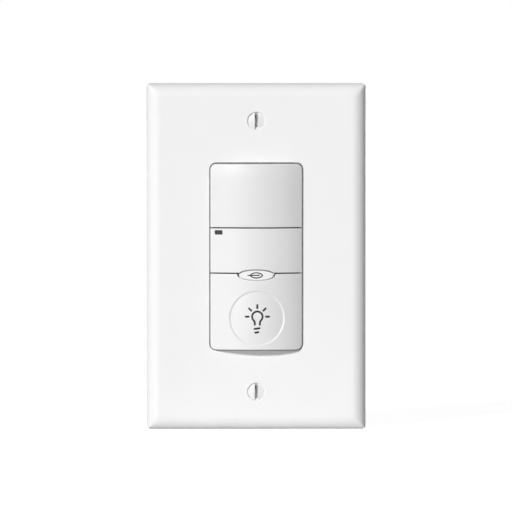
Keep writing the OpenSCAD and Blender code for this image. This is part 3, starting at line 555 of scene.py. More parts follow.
@dataclass
class Stock:
    """Mesh under construction, in millimetres, in the drawing frame."""

    bm: bmesh.types.BMesh = field(default_factory=bmesh.new)
    edge_steps: int = 5
    hem_drop: float = 0.05
    land: float = 0.3
    back_share: int = 4
    back_margin: float = 0.5
    solid_margin: float = 0.15
    base_margin: float = 0.3
    bar_edge: float = 0.08
    weld: float = 1e-5
    flat_weld: float = 1e-7

    def ring(self, points: Sequence[Point], height: Callable[[int, float, float], float]) -> List:
        """Adds a loop of vertices, with z from the index and the place."""
        return [self.bm.verts.new((x, y, height(i, x, y))) for i, (x, y) in enumerate(points)]

    def strips(self, loops: List[List]) -> None:
        """Joins closed loops of equal length by quads, each to the next.

        Args:
            loops: Loops of vertices.
        """
        for low, high in zip(loops, loops[1:]):
            for i in range(len(low)):
                j = (i + 1) % len(low)
                self.bm.faces.new((low[i], low[j], high[j], high[i]))

    def fill(self, loops: List[List], height: Height, places: np.ndarray, margin: float) -> None:
        """Closes loops with a surface; all loops but the first are holes in it.

        Args:
            loops: Loops of vertices.
            height: Height of the surface.
            places: Points wanted inside.
            margin: Least distance of inside points from the loops.
        """
        flats = [np.array([(v.co.x, v.co.y) for v in loop]) for loop in loops]
        keep = inside(places, flats[0]) & (clearance(places, flats[0]) > margin)
        for hole in flats[1:]:
            keep &= ~inside(places, hole) & (clearance(places, hole) > margin)
        corners, edges, known = [], [], []
        for loop, flat in zip(loops, flats):
            start, count = len(corners), len(loop)
            corners += [Vector(p) for p in flat]
            edges += [(start + i, start + (i + 1) % count) for i in range(count)]
            known += loop
        corners += [Vector(p) for p in places[keep]]
        flat_out, _, faces, origin, _, _ = delaunay_2d_cdt(corners, edges, [], 1, self.flat_weld)
        verts = []
        for p, source in zip(flat_out, origin):
            if source and source[0] < len(known):
                verts.append(known[source[0]])
            else:
                verts.append(self.bm.verts.new((p.x, p.y, height(p.x, p.y))))
        middles = np.array([np.mean([flat_out[i] for i in f], axis=0) for f in faces])
        shown = np.ones(len(faces), bool)
        for hole in flats[1:]:
            shown &= ~inside(middles, hole)
        for f, use in zip(faces, shown):
            if use:
                self.bm.faces.new([verts[i] for i in f])

    def moulding(self, outlines: List[Outline], height: Height, wall: float, hem_z: float,
                 places: np.ndarray, margin: float = 0.2) -> None:
        """Adds a closed thin-walled moulding of the face, set a little to the left.

        Args:
            outlines: Outer outline first, then holes.
            height: Height of the front.
            wall: Thickness of the front.
            hem_z: Height of the hem of the side walls.
            places: Points wanted in the front.
            margin: Least distance of these from the edges.
        """
        fronts, roofs = [], []
        for outline in outlines:
            def hem(i: int, x: float, y: float) -> float:
                """Gives the hem's height at a point of the outline."""
                return hem_z if outline.deep[i] else height(x, y) - wall - self.hem_drop
            rings = self.rounded(outline, height, FACE.edge_r)
            foot = self.ring(outline.points, hem)
            inner = outline.inset(FACE.skirt, self.land)
            lip = self.ring(inner, hem)
            roofs.append(self.ring(inner, lambda i, x, y: height(x, y) - wall))
            self.strips([roofs[-1], lip, foot, *rings])
            fronts.append(rings[-1])
        self.fill(fronts, height, places, margin)
        self.fill(roofs, lambda x, y: height(x, y) - wall, places[::self.back_share],
                  self.back_margin)
        self.shift(FACE.off_x)

    def solid(self, outline: Outline, height: Height, base: Height, edge_r: float,
              places: np.ndarray) -> None:
        """Adds a closed solid between two surfaces, its front edge rounded.

        Args:
            outline: Outline of the solid.
            height: Height of the front.
            base: Height of the back.
            edge_r: Rounding of the front edge.
            places: Points wanted inside.
        """
        rings = self.rounded(outline, height, edge_r)
        foot = self.ring(outline.points, lambda i, x, y: base(x, y))
        self.strips([foot, *rings])
        self.fill([rings[-1]], height, places, self.solid_margin)
        self.fill([foot], base, places[:1], self.base_margin)

    def rounded(self, outline: Outline, height: Height, edge_r: float) -> List[List]:
        """Adds the loops of a rounded front edge, from the wall to the front.

        Args:
            outline: Outline of the edge.
            height: Height of the front.
            edge_r: Radius of the edge.

        Returns:
            The loops.
        """
        rings = []
        for k in range(self.edge_steps + 1):
            a = QUARTER * k / self.edge_steps
            drop = edge_r * (1 - math.sin(a))
            rings.append(self.ring(outline.inset(edge_r * (1 - math.cos(a))),
                                   lambda i, x, y: height(x, y) - drop))
        return rings

    def lathe(self, profile: Sequence[Point], place: Matrix, steps: int) -> None:
        """Adds a turned solid.

        Args:
            profile: Radius and height of each ring, from one end to the other.
            place: Where the turning axis z goes.
            steps: Number of sides.
        """
        turns = [2 * math.pi * i / steps for i in range(steps)]
        rings = [[self.bm.verts.new(place @ Vector((r * math.cos(a), r * math.sin(a), z)))
                  for a in turns] for r, z in profile]
        self.strips(rings)
        self.bm.faces.new(rings[0])
        self.bm.faces.new(rings[-1])

    def bar(self, low: Sequence[float], high: Sequence[float]) -> None:
        """Adds a straight bar with slightly broken edges.

        Args:
            low: Lowest corner.
            high: Highest corner.
        """
        made = bmesh.ops.create_cube(self.bm, size=1.0)["verts"]
        for v in made:
            v.co = Vector([l + (h - l) * (c + 0.5) for l, h, c in zip(low, high, v.co)])
        edges = list({e for v in made for e in v.link_edges})
        bmesh.ops.bevel(self.bm, geom=edges, offset=self.bar_edge, segments=2, affect="EDGES",
                        profile=0.5)

    def shift(self, x: float) -> None:
        """Moves what is made so far sideways."""
        bmesh.ops.translate(self.bm, vec=(x, 0, 0), verts=self.bm.verts)

    def piece(self, name: str, slot: str, body: Body, node: str) -> None:
        """Turns the mesh upright and makes it a piece of the part.

        Args:
            name: Name of the piece.
            slot: Slot of its finish.
            body: Body that it rides on.
            node: CAD node that it stands for.
        """
        bmesh.ops.remove_doubles(self.bm, verts=self.bm.verts, dist=self.weld)
        bmesh.ops.recalc_face_normals(self.bm, faces=self.bm.faces)
        self.bm.transform(UPRIGHT @ Matrix.Scale(MM, 4))
        settle(self.bm, name, slot, body, node)


class Rig(Wires):
    """Geometry-node tree with named inputs, made into a plain mesh."""

    def __init__(self, name: str, sizes: Dict[str, float], whole: Dict[str, int]) -> None:
        """Starts the tree.

        Args:
            name: Name of the tree.
            sizes: Named lengths and their values.
            whole: Named counts and their values.
        """
        super().__init__(bpy.data.node_groups.new(name, "GeometryNodeTree"))
        self.values: Dict[str, float] = {}
        new_socket = self.tree.interface.new_socket
        new_socket("Geometry", in_out="INPUT", socket_type="NodeSocketGeometry")
        for label, value in [*sizes.items(), *whole.items()]:
            kind = "NodeSocketInt" if label in whole else "NodeSocketFloat"
            socket = new_socket(label, in_out="INPUT", socket_type=kind)
            socket.default_value = value
            self.values[socket.identifier] = value
        new_socket("Geometry", in_out="OUTPUT", socket_type="NodeSocketGeometry")
        self.source = self.tree.nodes.new("NodeGroupInput").outputs
        self.end = self.tree.nodes.new("NodeGroupOutput")

    def make(self, kind: str, **wires: object) -> Socket:
        """Adds a geometry node and gives its first output."""
        return self.out("GeometryNode" + kind, **wires)

    def mesh(self, paths: Sequence[Line], result: Socket, slot: str) -> bpy.types.Mesh:
        """Ends the tree, runs it once and keeps the mesh.

        Args:
            paths: Points of the open lines that the tree starts from.
            result: Socket of the wanted geometry.
            slot: Slot of the result's finish.

        Returns:
            The plain mesh, upright in the row frame.
        """
        verts, edges = [], []
        for path in paths:
            edges += [(len(verts) + i, len(verts) + i + 1) for i in range(len(path) - 1)]
            verts += [[c * MM for c in p] for p in path]
        base = bpy.data.meshes.new(self.tree.name)
        base.from_pydata(verts, edges, [])
        real = self.make("RealizeInstances", Geometry=result)
        clad = self.make("SetMaterial", Geometry=real, Material=FINISHES[slot].material())
        self.feed(self.end, Geometry=clad)
        holder = show(self.tree.name, base)
        modifier = holder.modifiers.new("rig", "NODES")
        modifier.node_group = self.tree
        for identifier, value in self.values.items():
            modifier[identifier] = value
        bpy.context.view_layer.update()
        done = holder.evaluated_get(bpy.context.evaluated_depsgraph_get())
        mesh = bpy.data.meshes.new_from_object(done)
        holder.modifiers.remove(modifier)
        bpy.data.objects.remove(holder)
        mesh.transform(UPRIGHT)
        return mesh


@dataclass(frozen=True)
class InkSign:
    """Ink sign of round-ended strokes that lie on a surface."""

    half_width: float
    film: float
    sides: int = 12
    end_mesh: Tuple[int, int] = (16, 8)

    def on(self, name: str, paths: Sequence[Line], piece: str, body: Body) -> None:
        """Prints the sign and makes it a piece.

        Args:
            name: Name of the sign.
            paths: Points of each stroke.
            piece: Name of the piece.
            body: Body that it rides on.
        """
        rig = Rig(name, {"Half width": self.half_width * MM, "Film": self.film * MM},
                  {"Sides": self.sides})
        half, sides = rig.source["Half width"], rig.source["Sides"]
        flat = rig.maths("DIVIDE", rig.source["Film"], half)
        lines = rig.make("MeshToCurve", Mesh=rig.source["Geometry"])
        level = rig.out("GeometryNodeSetCurveNormal", {"mode": "Z_UP"}, Curve=lines)
        circle = rig.make("CurvePrimitiveCircle", Resolution=sides, Radius=half)
        nib = rig.make("Transform", Geometry=circle, Scale=rig.vector(1.0, flat, 1.0))
        ink = rig.make("CurveToMesh", Curve=level, Profile_Curve=nib, Fill_Caps=True)
        ends = rig.make("CurveEndpointSelection", Start_Size=1, End_Size=1)
        segments, rings = self.end_mesh
        ball = rig.make("MeshUVSphere", Segments=segments, Rings=rings, Radius=half)
        dots = rig.make("InstanceOnPoints", Points=level, Selection=ends, Instance=ball,
                        Scale=rig.vector(1.0, 1.0, flat))
        both = rig.node("GeometryNodeJoinGeometry", Geometry=dots)
        rig.feed(both, Geometry=ink)
        settle(rig.mesh(paths, both.outputs[0], INK), piece, INK, body)


@dataclass(frozen=True)
class FaceForm:
    """Form that the pieces of the switch face share: a drum about an upright axis."""

    width: float = 32.7
    height: float = 66.3
    corner_r: float = 2.0
    corner_steps: int = 10
    edge_z: float = 7.1
    crown: float = 4.5
    wall: float = 1.5
    skirt: float = 0.9
    skirt_z: float = 1.9
    gap: float = 0.42
    upper_gap_y: float = 10.3
    lower_gap_y: float = -5.9
    edge_r: float = 0.2
    run_in: float = 1.0
    off_x: float = -0.1
    off_y: float = -0.07
    roll_x: float = 11.4
    roll_slope: float = 0.14
    side_step: float = 1.5
    land_step: float = 0.6

    @property
    def top(self) -> float:
        """Height of the upper end on the plate."""
        return self.height / 2 + self.off_y

    @property
    def bottom(self) -> float:
        """Height of the lower end on the plate."""
        return -self.height / 2 + self.off_y

    @property
    def half(self) -> float:
        """Half the width."""
        return self.width / 2

    @property
    def rim(self) -> float:
        """Sideways place where the thin gap edges start."""
        return self.half - self.run_in

    @property
    def top_z(self) -> float:
        """Height of the crown's middle."""
        return self.edge_z + self.crown

    @property
    def radius(self) -> float:
        """Radius of the drum."""
        return (self.half ** 2 + self.crown ** 2) / (2 * self.crown)

    def drum(self, x: float, proud: float = 0.0) -> float:
        """Height of the drum at x, grown by proud."""
        r = self.radius + proud
        return self.top_z - self.radius + math.sqrt(r * r - x * x)

    def rolled(self, x: float) -> float:
        """Height of the drum at x, with the sides rolled off."""
        over = max(0.0, abs(x) - self.roll_x)
        return self.drum(x) - self.roll_slope * over ** 2 / (2 * (self.half - self.roll_x))

    def side(self, pen: Pen, x: float, y: float) -> None:
        """Runs a pen along a side wall to (x, y)."""
        pen.run(x, y, self.side_step)

    def edge(self, pen: Pen, start: float, end: float, y: float, step: float = 0.0) -> None:
        """Runs a pen along a gap edge, from start to end at height y."""
        pen.to(start, y, False).run(end, y, step or self.land_step, False)

    def corner(self, pen: Pen, sx: int, y: float, start: float) -> None:
        """Runs a pen round a corner whose centre lies at height y, on the side of sx."""
        centre = (sx * (self.half - self.corner_r), y)
        pen.arc(centre, self.corner_r, start, start + QUARTER, self.corner_steps)


@dataclass(frozen=True)
class OvalForm:
    """Full ellipse across the lower gap; a and b are half its width and height."""

    a: float
    b: float
    y: float
    fullness: float = 2.1

    def reach(self, y: float) -> float:
        """Half the width at height y."""
        share = abs(y - self.y) / self.b
        return self.a * (1 - share ** self.fullness) ** (1 / self.fullness)

    def angle(self, y: float) -> float:
        """Angle at which the oval passes height y, on its right."""
        share = (y - self.y) / self.b
        return math.asin(math.copysign(abs(share) ** (self.fullness / 2), share))

    def arc(self, start: float, end: float, count: int) -> List[Point]:
        """Gives points along the oval.

        Args:
            start: First angle.
            end: Last angle.
            count: Number of points.

        Returns:
            The points, from start to end.
        """
        power, points = 2 / self.fullness, []
        for t in np.linspace(start, end, count):
            c, s = math.cos(t), math.sin(t)
            points.append((math.copysign(self.a * abs(c) ** power, c),
                           self.y + math.copysign(self.b * abs(s) ** power, s)))
        return points


SIDE_GAP, END_GAP, NOTCH_RISE = 0.65, 0.2, 0.1
FACE = FaceForm()
OVAL = OvalForm(6.1, 1.75, -6.6)
NOTCH = OvalForm(OVAL.a + SIDE_GAP, OVAL.b + END_GAP, OVAL.y + NOTCH_RISE)


@dataclass
class SensorLens:
    """Upper panel: infrared lens with flat side bands and a sloping top band.

    fold and top_fold give start, end and step of the fine mesh about the creases, and
    clear how far from them the coarser mesh of bands, rows and top starts.
    """

    bend_r: float = 33.0
    band_w: float = 3.2
    top_band: float = 3.0
    tilt: float = math.radians(12.5)
    wall: float = 1.2
    crease: float = 0.32
    top_crease: float = 0.5
    lenslets: Tuple[int, int] = (3, 5)
    lenslet_size: Point = (4.2, 0.55)
    lenslet_gap: Point = (0.7, 0.9)
    dome_mesh: Tuple[int, int] = (20, 10)
    fold: Triple = (-0.5, 0.6, 0.1)
    top_fold: Triple = (-1.0, 0.4, 0.1)
    clear: Triple = (0.9, 1.1, 0.7)
    field_step: float = 0.6
    band_step: float = 0.5
    row_step: float = 0.8
    top_step: float = 0.4
    bend_step: float = 0.3
    bend_run: float = 5.0
    margin: float = 0.05

    @property
    def field_x(self) -> float:
        """Sideways place of the creases."""
        return FACE.half - self.band_w

    @property
    def crease_y(self) -> float:
        """Height of the crease below the top band."""
        return FACE.top - self.top_band

    def section(self, x: float) -> float:
        """Gives the height of the lens across the face.

        Args:
            x: Sideways place.

        Returns:
            The height at that place.
        """
        axis_z = FACE.top_z - self.bend_r
        field_z = axis_z + math.sqrt(self.bend_r ** 2 - self.field_x ** 2)
        slope = (field_z - FACE.edge_z) / self.band_w
        arc = axis_z + math.sqrt(self.bend_r ** 2 - x * x)
        return soft_min(arc, FACE.edge_z + slope * (FACE.half - abs(x)), self.crease)

    def front(self, x: float, y: float) -> float:
        """Gives the height of the front, with the bent top band.

        Args:
            x: Sideways place.
            y: Height on the face.

        Returns:
            The height at that place.
        """
        low = self.section(x)
        fall = math.tan(self.tilt) * (y - self.crease_y)
        tilted = FACE.top_z - fall + (low - FACE.top_z) / math.cos(self.tilt)
        return soft_min(low, tilted, self.top_crease)

    def outline(self) -> Outline:
        """Draws the outline with round upper corners.

        Returns:
            The outline.
        """
        bottom, bend_y = FACE.upper_gap_y + FACE.gap / 2, FACE.top - self.bend_run
        turn_y = FACE.top - FACE.corner_r
        pen = Pen().to(-FACE.half, bottom)
        FACE.edge(pen, -FACE.rim, FACE.rim, bottom, self.top_step)
        pen.to(FACE.half, bottom)
        FACE.side(pen, FACE.half, bend_y)
        FACE.corner(pen.run(FACE.half, turn_y, self.bend_step), 1, turn_y, 0)
        pen.run(-FACE.half + FACE.corner_r, FACE.top, self.top_step)
        FACE.corner(pen, -1, turn_y, QUARTER)
        FACE.side(pen.run(-FACE.half, bend_y, self.bend_step), -FACE.half, bottom)
        return pen.outline()

    def domes(self) -> bpy.types.Mesh:
        """Sets a field of low domes on the bent inside of the lens.

        Returns:
            The mesh of all domes.
        """
        (rows, columns), (diameter, height) = self.lenslets, self.lenslet_size
        gap_x, gap_y = self.lenslet_gap
        rig = Rig("lenslet_field", {
            "Dome radius": diameter / 2 * MM, "Dome height": height / (diameter / 2),
            "Bend radius": (self.bend_r - self.wall) * MM,
            "Width": (diameter + gap_x) * (columns - 1) * MM,
            "Height": (diameter + gap_y) * (rows - 1) * MM}, {"Columns": columns, "Rows": rows})
        source, bend = rig.source, rig.source["Bend radius"]
        grid = rig.make("MeshGrid", Size_X=source["Width"], Size_Y=source["Height"],
                        Vertices_X=source["Columns"], Vertices_Y=source["Rows"])
        flat = rig.node("ShaderNodeSeparateXYZ", Vector=rig.make("InputPosition")).outputs
        angle = rig.maths("DIVIDE", flat["X"], bend)
        across, out = (rig.maths("MULTIPLY", rig.maths(wave, angle), bend)
                       for wave in ("SINE", "COSINE"))
        spots = rig.make("SetPosition", Geometry=grid, Position=rig.vector(across, flat["Y"], out))
        segments, rings = self.dome_mesh
        dome = rig.make("MeshUVSphere", Segments=segments, Rings=rings,
                        Radius=source["Dome radius"])
        domes = rig.make("InstanceOnPoints", Points=spots, Instance=dome,
                         Rotation=rig.vector(0.0, angle, 0.0),
                         Scale=rig.vector(1.0, 1.0, source["Dome height"]))
        middle = (FACE.upper_gap_y + FACE.gap / 2 + self.crease_y) / 2
        axis = (FACE.off_x, middle, FACE.top_z - self.bend_r)
        moved = rig.make("Transform", Geometry=domes, Translation=[c * MM for c in axis])
        return rig.mesh([[(0, 0, 0)]], moved, LENS)

    def build(self) -> None:
        """Moulds the lens and sets its lenslets."""
        edge_x, crease_y = self.field_x, self.crease_y
        (near, far, fine), (low, high, tight) = self.fold, self.top_fold
        bands, rows, top = self.clear
        close = spaced(edge_x + near, edge_x + far, fine)
        xs = [*spaced(self.field_step - edge_x, edge_x - self.field_step, self.field_step),
              *close, *[-x for x in close], *spaced(edge_x + bands, FACE.half, self.band_step),
              *spaced(-FACE.half, -edge_x - bands, self.band_step)]
        ys = [*spaced(FACE.upper_gap_y, crease_y - rows, self.row_step),
              *spaced(crease_y + low, crease_y + high, tight),
              *spaced(crease_y + top, FACE.top, self.top_step)]
        stock = Stock()
        stock.moulding([self.outline()], self.front, self.wall, FACE.skirt_z, lattice(xs, ys),
                       self.margin)
        stock.piece("lens_moulding", LENS, Body.DEVICE, "sensor_lens")
        settle(self.domes(), "lens_lenslets", LENS, Body.DEVICE)


@dataclass
class CentrePanel:
    """Fixed panel between lens and paddle, with the indicator's hole."""

    hole_x: float = -13.4
    hole_y: float = 8.65
    hole_w: float = 2.7
    hole_h: float = 1.5
    hole_r: float = 0.25
    hole_steps: int = 5
    notch_points: int = 45
    mesh_step: Point = (0.5, 0.7)

    def outline(self) -> Outline:
        """Draws the outline with the oval notch in its lower edge.

        Returns:
            The outline.
        """
        low, high = FACE.lower_gap_y + FACE.gap / 2, FACE.upper_gap_y - FACE.gap / 2
        notch, turn = NOTCH.reach(low), NOTCH.angle(low)
        pen = Pen().to(-FACE.half, low)
        FACE.edge(pen, -FACE.rim, -notch, low)
        for x, y in NOTCH.arc(math.pi - turn, turn, self.notch_points)[1:-1]:
            pen.to(x, y, False)
        FACE.edge(pen, notch, FACE.rim, low)
        FACE.side(pen.to(FACE.half, low), FACE.half, high)
        FACE.edge(pen, FACE.rim, -FACE.rim, high)
        FACE.side(pen.to(-FACE.half, high), -FACE.half, low)
        return pen.outline()

    def hole(self) -> Outline:
        """Draws the indicator's hole, clockwise.

        Returns:
            The outline of the hole.
        """
        w, h, r = self.hole_w / 2, self.hole_h / 2, self.hole_r
        pen = Pen()
        for sx, sy, a in ((-1, 1, math.pi), (1, 1, QUARTER), (1, -1, 0.0), (-1, -1, -QUARTER)):
            centre = (self.hole_x + sx * (w - r), self.hole_y + sy * (h - r))
            pen.arc(centre, r, a, a - QUARTER, self.hole_steps, False)
        return pen.outline()

    def build(self) -> None:
        """Moulds the panel."""
        places = spread(FACE.half, FACE.lower_gap_y, FACE.upper_gap_y, self.mesh_step)
        stock = Stock()
        stock.moulding([self.outline(), self.hole()], lambda x, y: FACE.rolled(x), FACE.wall,
                       FACE.skirt_z, places)
        stock.piece("centre_moulding", FACE_PLASTIC, Body.DEVICE, "centre_panel")


@dataclass
class LightPaddle:
    """Lower panel: paddle with a round finger pad and a printed bulb sign.

    The sign's neck is in shares of the glass radius, its base lines and rays in
    millimetres from the middle of the glass.
    """

    pad_d: float = 19.3
    pad_x: float = 0.2
    pad_y: float = -21.95
    pad_rim: float = 0.3
    pad_side: float = 0.45
    pad_set: float = 0.05
    pad_soft: float = 0.4
    skirt_z: float = 2.53
    pivot_y: float = -9.5
    pivot_z: float = 4.2
    pin_r: float = 0.9
    pin_l: float = 1.95
    pin_taper: float = 0.15
    pin_sides: int = 24
    post_r: float = 2.0
    post_z: float = 1.1
    post_taper: float = 1.0
    post_sides: int = 32
    rib: float = 1.2
    rib_low: float = 0.4
    sink: float = 0.3
    notch_points: int = 49
    notch_flare: float = 0.15
    mesh_step: Point = (0.5, 0.55)
    rim_mesh: Triple = (-0.6, 0.6, 0.1)
    rim_points: int = 180
    rim_clear: float = 0.85
    sign: Point = (0.22, -21.34)
    ink: InkSign = InkSign(0.36, 0.05)
    glass_r: float = 1.84
    glass_start: float = math.radians(-38)
    glass_points: int = 40
    neck: Tuple[Point, ...] = ((0.56, -0.9), (0.49, -1.2), (0.475, -1.54))
    base: Tuple[Tuple[Point, Point], ...] = (((-0.97, -4.36), (0.75, -4.12)),
                                             ((-0.7, -5.7), (0.36, -5.54)))
    rays: Tuple[int, ...] = (0, 45, 90, 135, 180)
    ray: Point = (3.05, 4.15)
    stroke_step: float = 0.25

    def pad(self, x: float, y: float) -> float:
        """Gives the height of the finger pad.

        Args:
            x: Sideways place.
            y: Height on the face.

        Returns:
            The height of the pad's barrel there.
        """
        r = self.pad_d / 2
        sag = FACE.top_z - FACE.drum(r) + self.pad_side - self.pad_set
        bend_r = (r * r + sag * sag) / (2 * sag)
        lift = self.pad_rim - self.pad_set
        barrel_r = (r * r + lift * lift) / (2 * lift)
        ring = bend_r - barrel_r + math.sqrt(barrel_r ** 2 - (y - self.pad_y) ** 2)
        return FACE.top_z - self.pad_set - bend_r + math.sqrt(ring * ring - (x - self.pad_x) ** 2)

    def front(self, x: float, y: float) -> float:
        """Gives the height of the paddle's front.

        Args:
            x: Sideways place.
            y: Height on the face.

        Returns:
            The height at that place.
        """
        away = math.hypot(x - self.pad_x, y - self.pad_y) - self.pad_d / 2
        if away > self.pad_soft:
            return FACE.rolled(x)
        share = soft_step(away, -self.pad_soft, self.pad_soft)
        return self.pad(x, y) * (1 - share) + FACE.rolled(x) * share

    def outline(self) -> Outline:
        """Draws the outline with the oval notch in its upper edge.

        Returns:
            The outline.
        """
        top, turn_y = FACE.lower_gap_y - FACE.gap / 2, FACE.bottom + FACE.corner_r
        lip = NOTCH.a + self.notch_flare
        pen = Pen().to(-FACE.half, top)
        FACE.side(pen, -FACE.half, turn_y)
        FACE.corner(pen, -1, turn_y, math.pi)
        pen.run(FACE.half - FACE.corner_r, FACE.bottom, FACE.land_step)
        FACE.corner(pen, 1, turn_y, 3 * QUARTER)
        FACE.side(pen, FACE.half, top)
        FACE.edge(pen, FACE.rim, lip, top)
        for x, y in NOTCH.arc(0, -math.pi, self.notch_points):
            pen.to(x, y, False)
        FACE.edge(pen, -lip, -FACE.rim, top)
        return pen.outline()

    def bulb(self) -> List[List[Triple]]:
        """Draws the bulb sign as strokes on the pad.

        Returns:
            The points of each stroke.
        """
        (cx, cy), r, start = self.sign, self.glass_r, self.glass_start
        glass = [(r * math.cos(a), r * math.sin(a))
                 for a in np.linspace(start, math.pi - start, self.glass_points)]
        neck = [(x * r, y * r) for x, y in self.neck]
        flat = [[*reversed(neck), *glass, *[(-x, y) for x, y in neck]], *self.base]
        for turn in map(math.radians, self.rays):
            flat.append([(math.cos(turn) * end, math.sin(turn) * end) for end in self.ray])
        strokes = []
        for line in flat:
            dense = []
            for (x0, y0), (x1, y1) in zip(line, line[1:]):
                steps = max(1, math.ceil(math.dist((x0, y0), (x1, y1)) / self.stroke_step))
                dense += [(x0 + (x1 - x0) * i / steps, y0 + (y1 - y0) * i / steps)
                          for i in range(steps)]
            strokes.append([(cx + x, cy + y, self.pad(cx + x - FACE.off_x, cy + y))
                            for x, y in [*dense, line[-1]]])
        return strokes

    def places(self) -> np.ndarray:
        """Gives the mesh points of the front, with fine rings at the pad's rim.

        Returns:
            The points, one per row.
        """
        r, (near, far, step) = self.pad_d / 2, self.rim_mesh
        grid = spread(FACE.half, FACE.bottom, FACE.lower_gap_y, self.mesh_step)
        away = np.hypot(grid[:, 0] - self.pad_x, grid[:, 1] - self.pad_y) - r
        rings = [(self.pad_x + a * math.cos(t), self.pad_y + a * math.sin(t))
                 for a in spaced(r + near, r + far, step)
                 for t in np.linspace(0, 2 * math.pi, self.rim_points, False)]
        return np.vstack([grid[np.abs(away) > self.rim_clear], np.array(rings)])

    def build(self) -> None:
        """Moulds the paddle with pins, post and ribs, and prints the sign."""
        stock = Stock()
        stock.moulding([self.outline()], self.front, FACE.wall, self.skirt_z, self.places())
        end, tip = self.pin_l - self.pin_taper, self.pin_r - self.pin_taper
        for s in (-1, 1):
            at = (s * (FACE.half - FACE.skirt / 2), self.pivot_y, self.pivot_z)
            turn = Matrix.Translation(at) @ Matrix.Rotation(-s * QUARTER, 4, "Y")
            stock.lathe([(self.pin_r, 0), (self.pin_r, end), (tip, self.pin_l)], turn,
                        self.pin_sides)
        r, half, wall = self.pad_d / 2, self.rib / 2, FACE.wall - self.sink
        roof, low = FACE.top_z - wall, FACE.edge_z - self.rib_low
        stock.lathe([(self.post_r - self.post_taper, self.post_z),
                     (self.post_r, self.post_z + self.post_taper), (self.post_r, roof)],
                    Matrix.Translation((0, self.pad_y, 0)), self.post_sides)
        stock.bar((-half, self.pad_y - r, FACE.edge_z), (half, self.pad_y + r, roof))
        stock.bar((-r, self.pad_y - half, low), (r, self.pad_y + half, FACE.drum(r) - wall))
        stock.piece("paddle_moulding", FACE_PLASTIC, Body.PADDLE, "light_paddle")
        self.ink.on("bulb_sign", self.bulb(), "paddle_sign", Body.PADDLE)


@dataclass
class ModeButton:
    """Oval push button across the lower gap, with a small leaf sign."""

    proud: float = 0.1
    bend_r: float = 150.0
    edge_r: float = 0.22
    points: int = 81
    flange_t: float = 1.0
    flange_gap: float = 0.15
    flange_grow: Point = (0.3, 1.2)
    flange_r: float = 1.2
    flange_edge: float = 0.1
    flange_steps: int = 6
    flange_step: float = 0.6
    stem_r: float = 2.0
    stem_z: float = 1.1
    stem_taper: float = 0.2
    stem_sides: int = 32
    sink: Point = (0.3, 0.4)
    mesh_step: Point = (0.4, 0.35)
    mesh_y: float = 2.0
    leaf: Point = (4.3, 0.92)
    leaf_power: float = 1.3
    leaf_points: int = 25
    vein: Point = (0.9, 1.1)
    vein_points: int = 19
    ink: InkSign = InkSign(0.2, 0.03)

    def front(self, x: float) -> float:
        """Height of the button's front, which is flatter than the face."""
        return FACE.top_z + self.proud - self.bend_r + math.sqrt(self.bend_r ** 2 - x * x)

    def oval(self) -> Outline:
        """Draws the oval.

        Returns:
            The outline.
        """
        pen = Pen()
        for x, y in OVAL.arc(0, 2 * math.pi, self.points)[:-1]:
            pen.to(x, y)
        return pen.outline()

    def flange(self) -> Outline:
        """Draws the flange behind the panels.

        Returns:
            The outline.
        """
        r, steps = self.flange_r, self.flange_steps
        w, h = OVAL.a + self.flange_grow[0] - r, OVAL.b + self.flange_grow[1] - r
        pen = Pen().arc((w, OVAL.y - h), r, -QUARTER, 0.0, steps)
        pen.arc((w, OVAL.y + h), r, 0.0, QUARTER, steps)
        pen.run(-w, pen.points[-1][1], self.flange_step)
        pen.arc((-w, OVAL.y + h), r, QUARTER, math.pi, steps)
        return pen.arc((-w, OVAL.y - h), r, math.pi, 3 * QUARTER, steps).outline()

    def sign(self) -> List[List[Triple]]:
        """Draws the leaf sign as strokes on the button.

        Returns:
            The points of each stroke.
        """
        (length, half), (stalk, tip) = self.leaf, self.vein
        upper = [(-length / 2 * math.cos(t), half * math.sin(t) ** self.leaf_power)
                 for t in np.linspace(0, math.pi, self.leaf_points)]
        lower = [(x, -y) for x, y in upper]
        ends = (-length / 2 - stalk, length / 2 - tip)
        vein = [(x, 0.0) for x in np.linspace(*ends, self.vein_points)]
        return [[(FACE.off_x + x, OVAL.y + y, self.front(x)) for x, y in line]
                for line in (upper, lower, vein)]

    def build(self) -> None:
        """Moulds the button with flange and stem, and prints its sign."""
        under = -FACE.wall - self.flange_gap
        flange_z = FACE.drum(OVAL.a + self.flange_grow[0], under) - self.flange_t
        places = spread(OVAL.a, OVAL.y - self.mesh_y, OVAL.y + self.mesh_y, self.mesh_step)
        stock = Stock()
        stock.solid(self.oval(), lambda x, y: self.front(x), lambda x, y: flange_z + self.sink[0],
                    self.edge_r, places)
        stock.shift(FACE.off_x)
        stock.solid(self.flange(), lambda x, y: FACE.drum(x, under), lambda x, y: flange_z,
                    self.flange_edge, places)
        stock.lathe([(self.stem_r - self.stem_taper, self.stem_z),
                     (self.stem_r, self.stem_z + self.stem_taper),
                     (self.stem_r, flange_z + self.sink[1])],
                    Matrix.Translation((0, OVAL.y, 0)), self.stem_sides)
        stock.piece("mode_moulding", PLATE, Body.MODE_KEY, "mode_button")
        self.ink.on("leaf_sign", self.sign(), "mode_sign", Body.MODE_KEY)


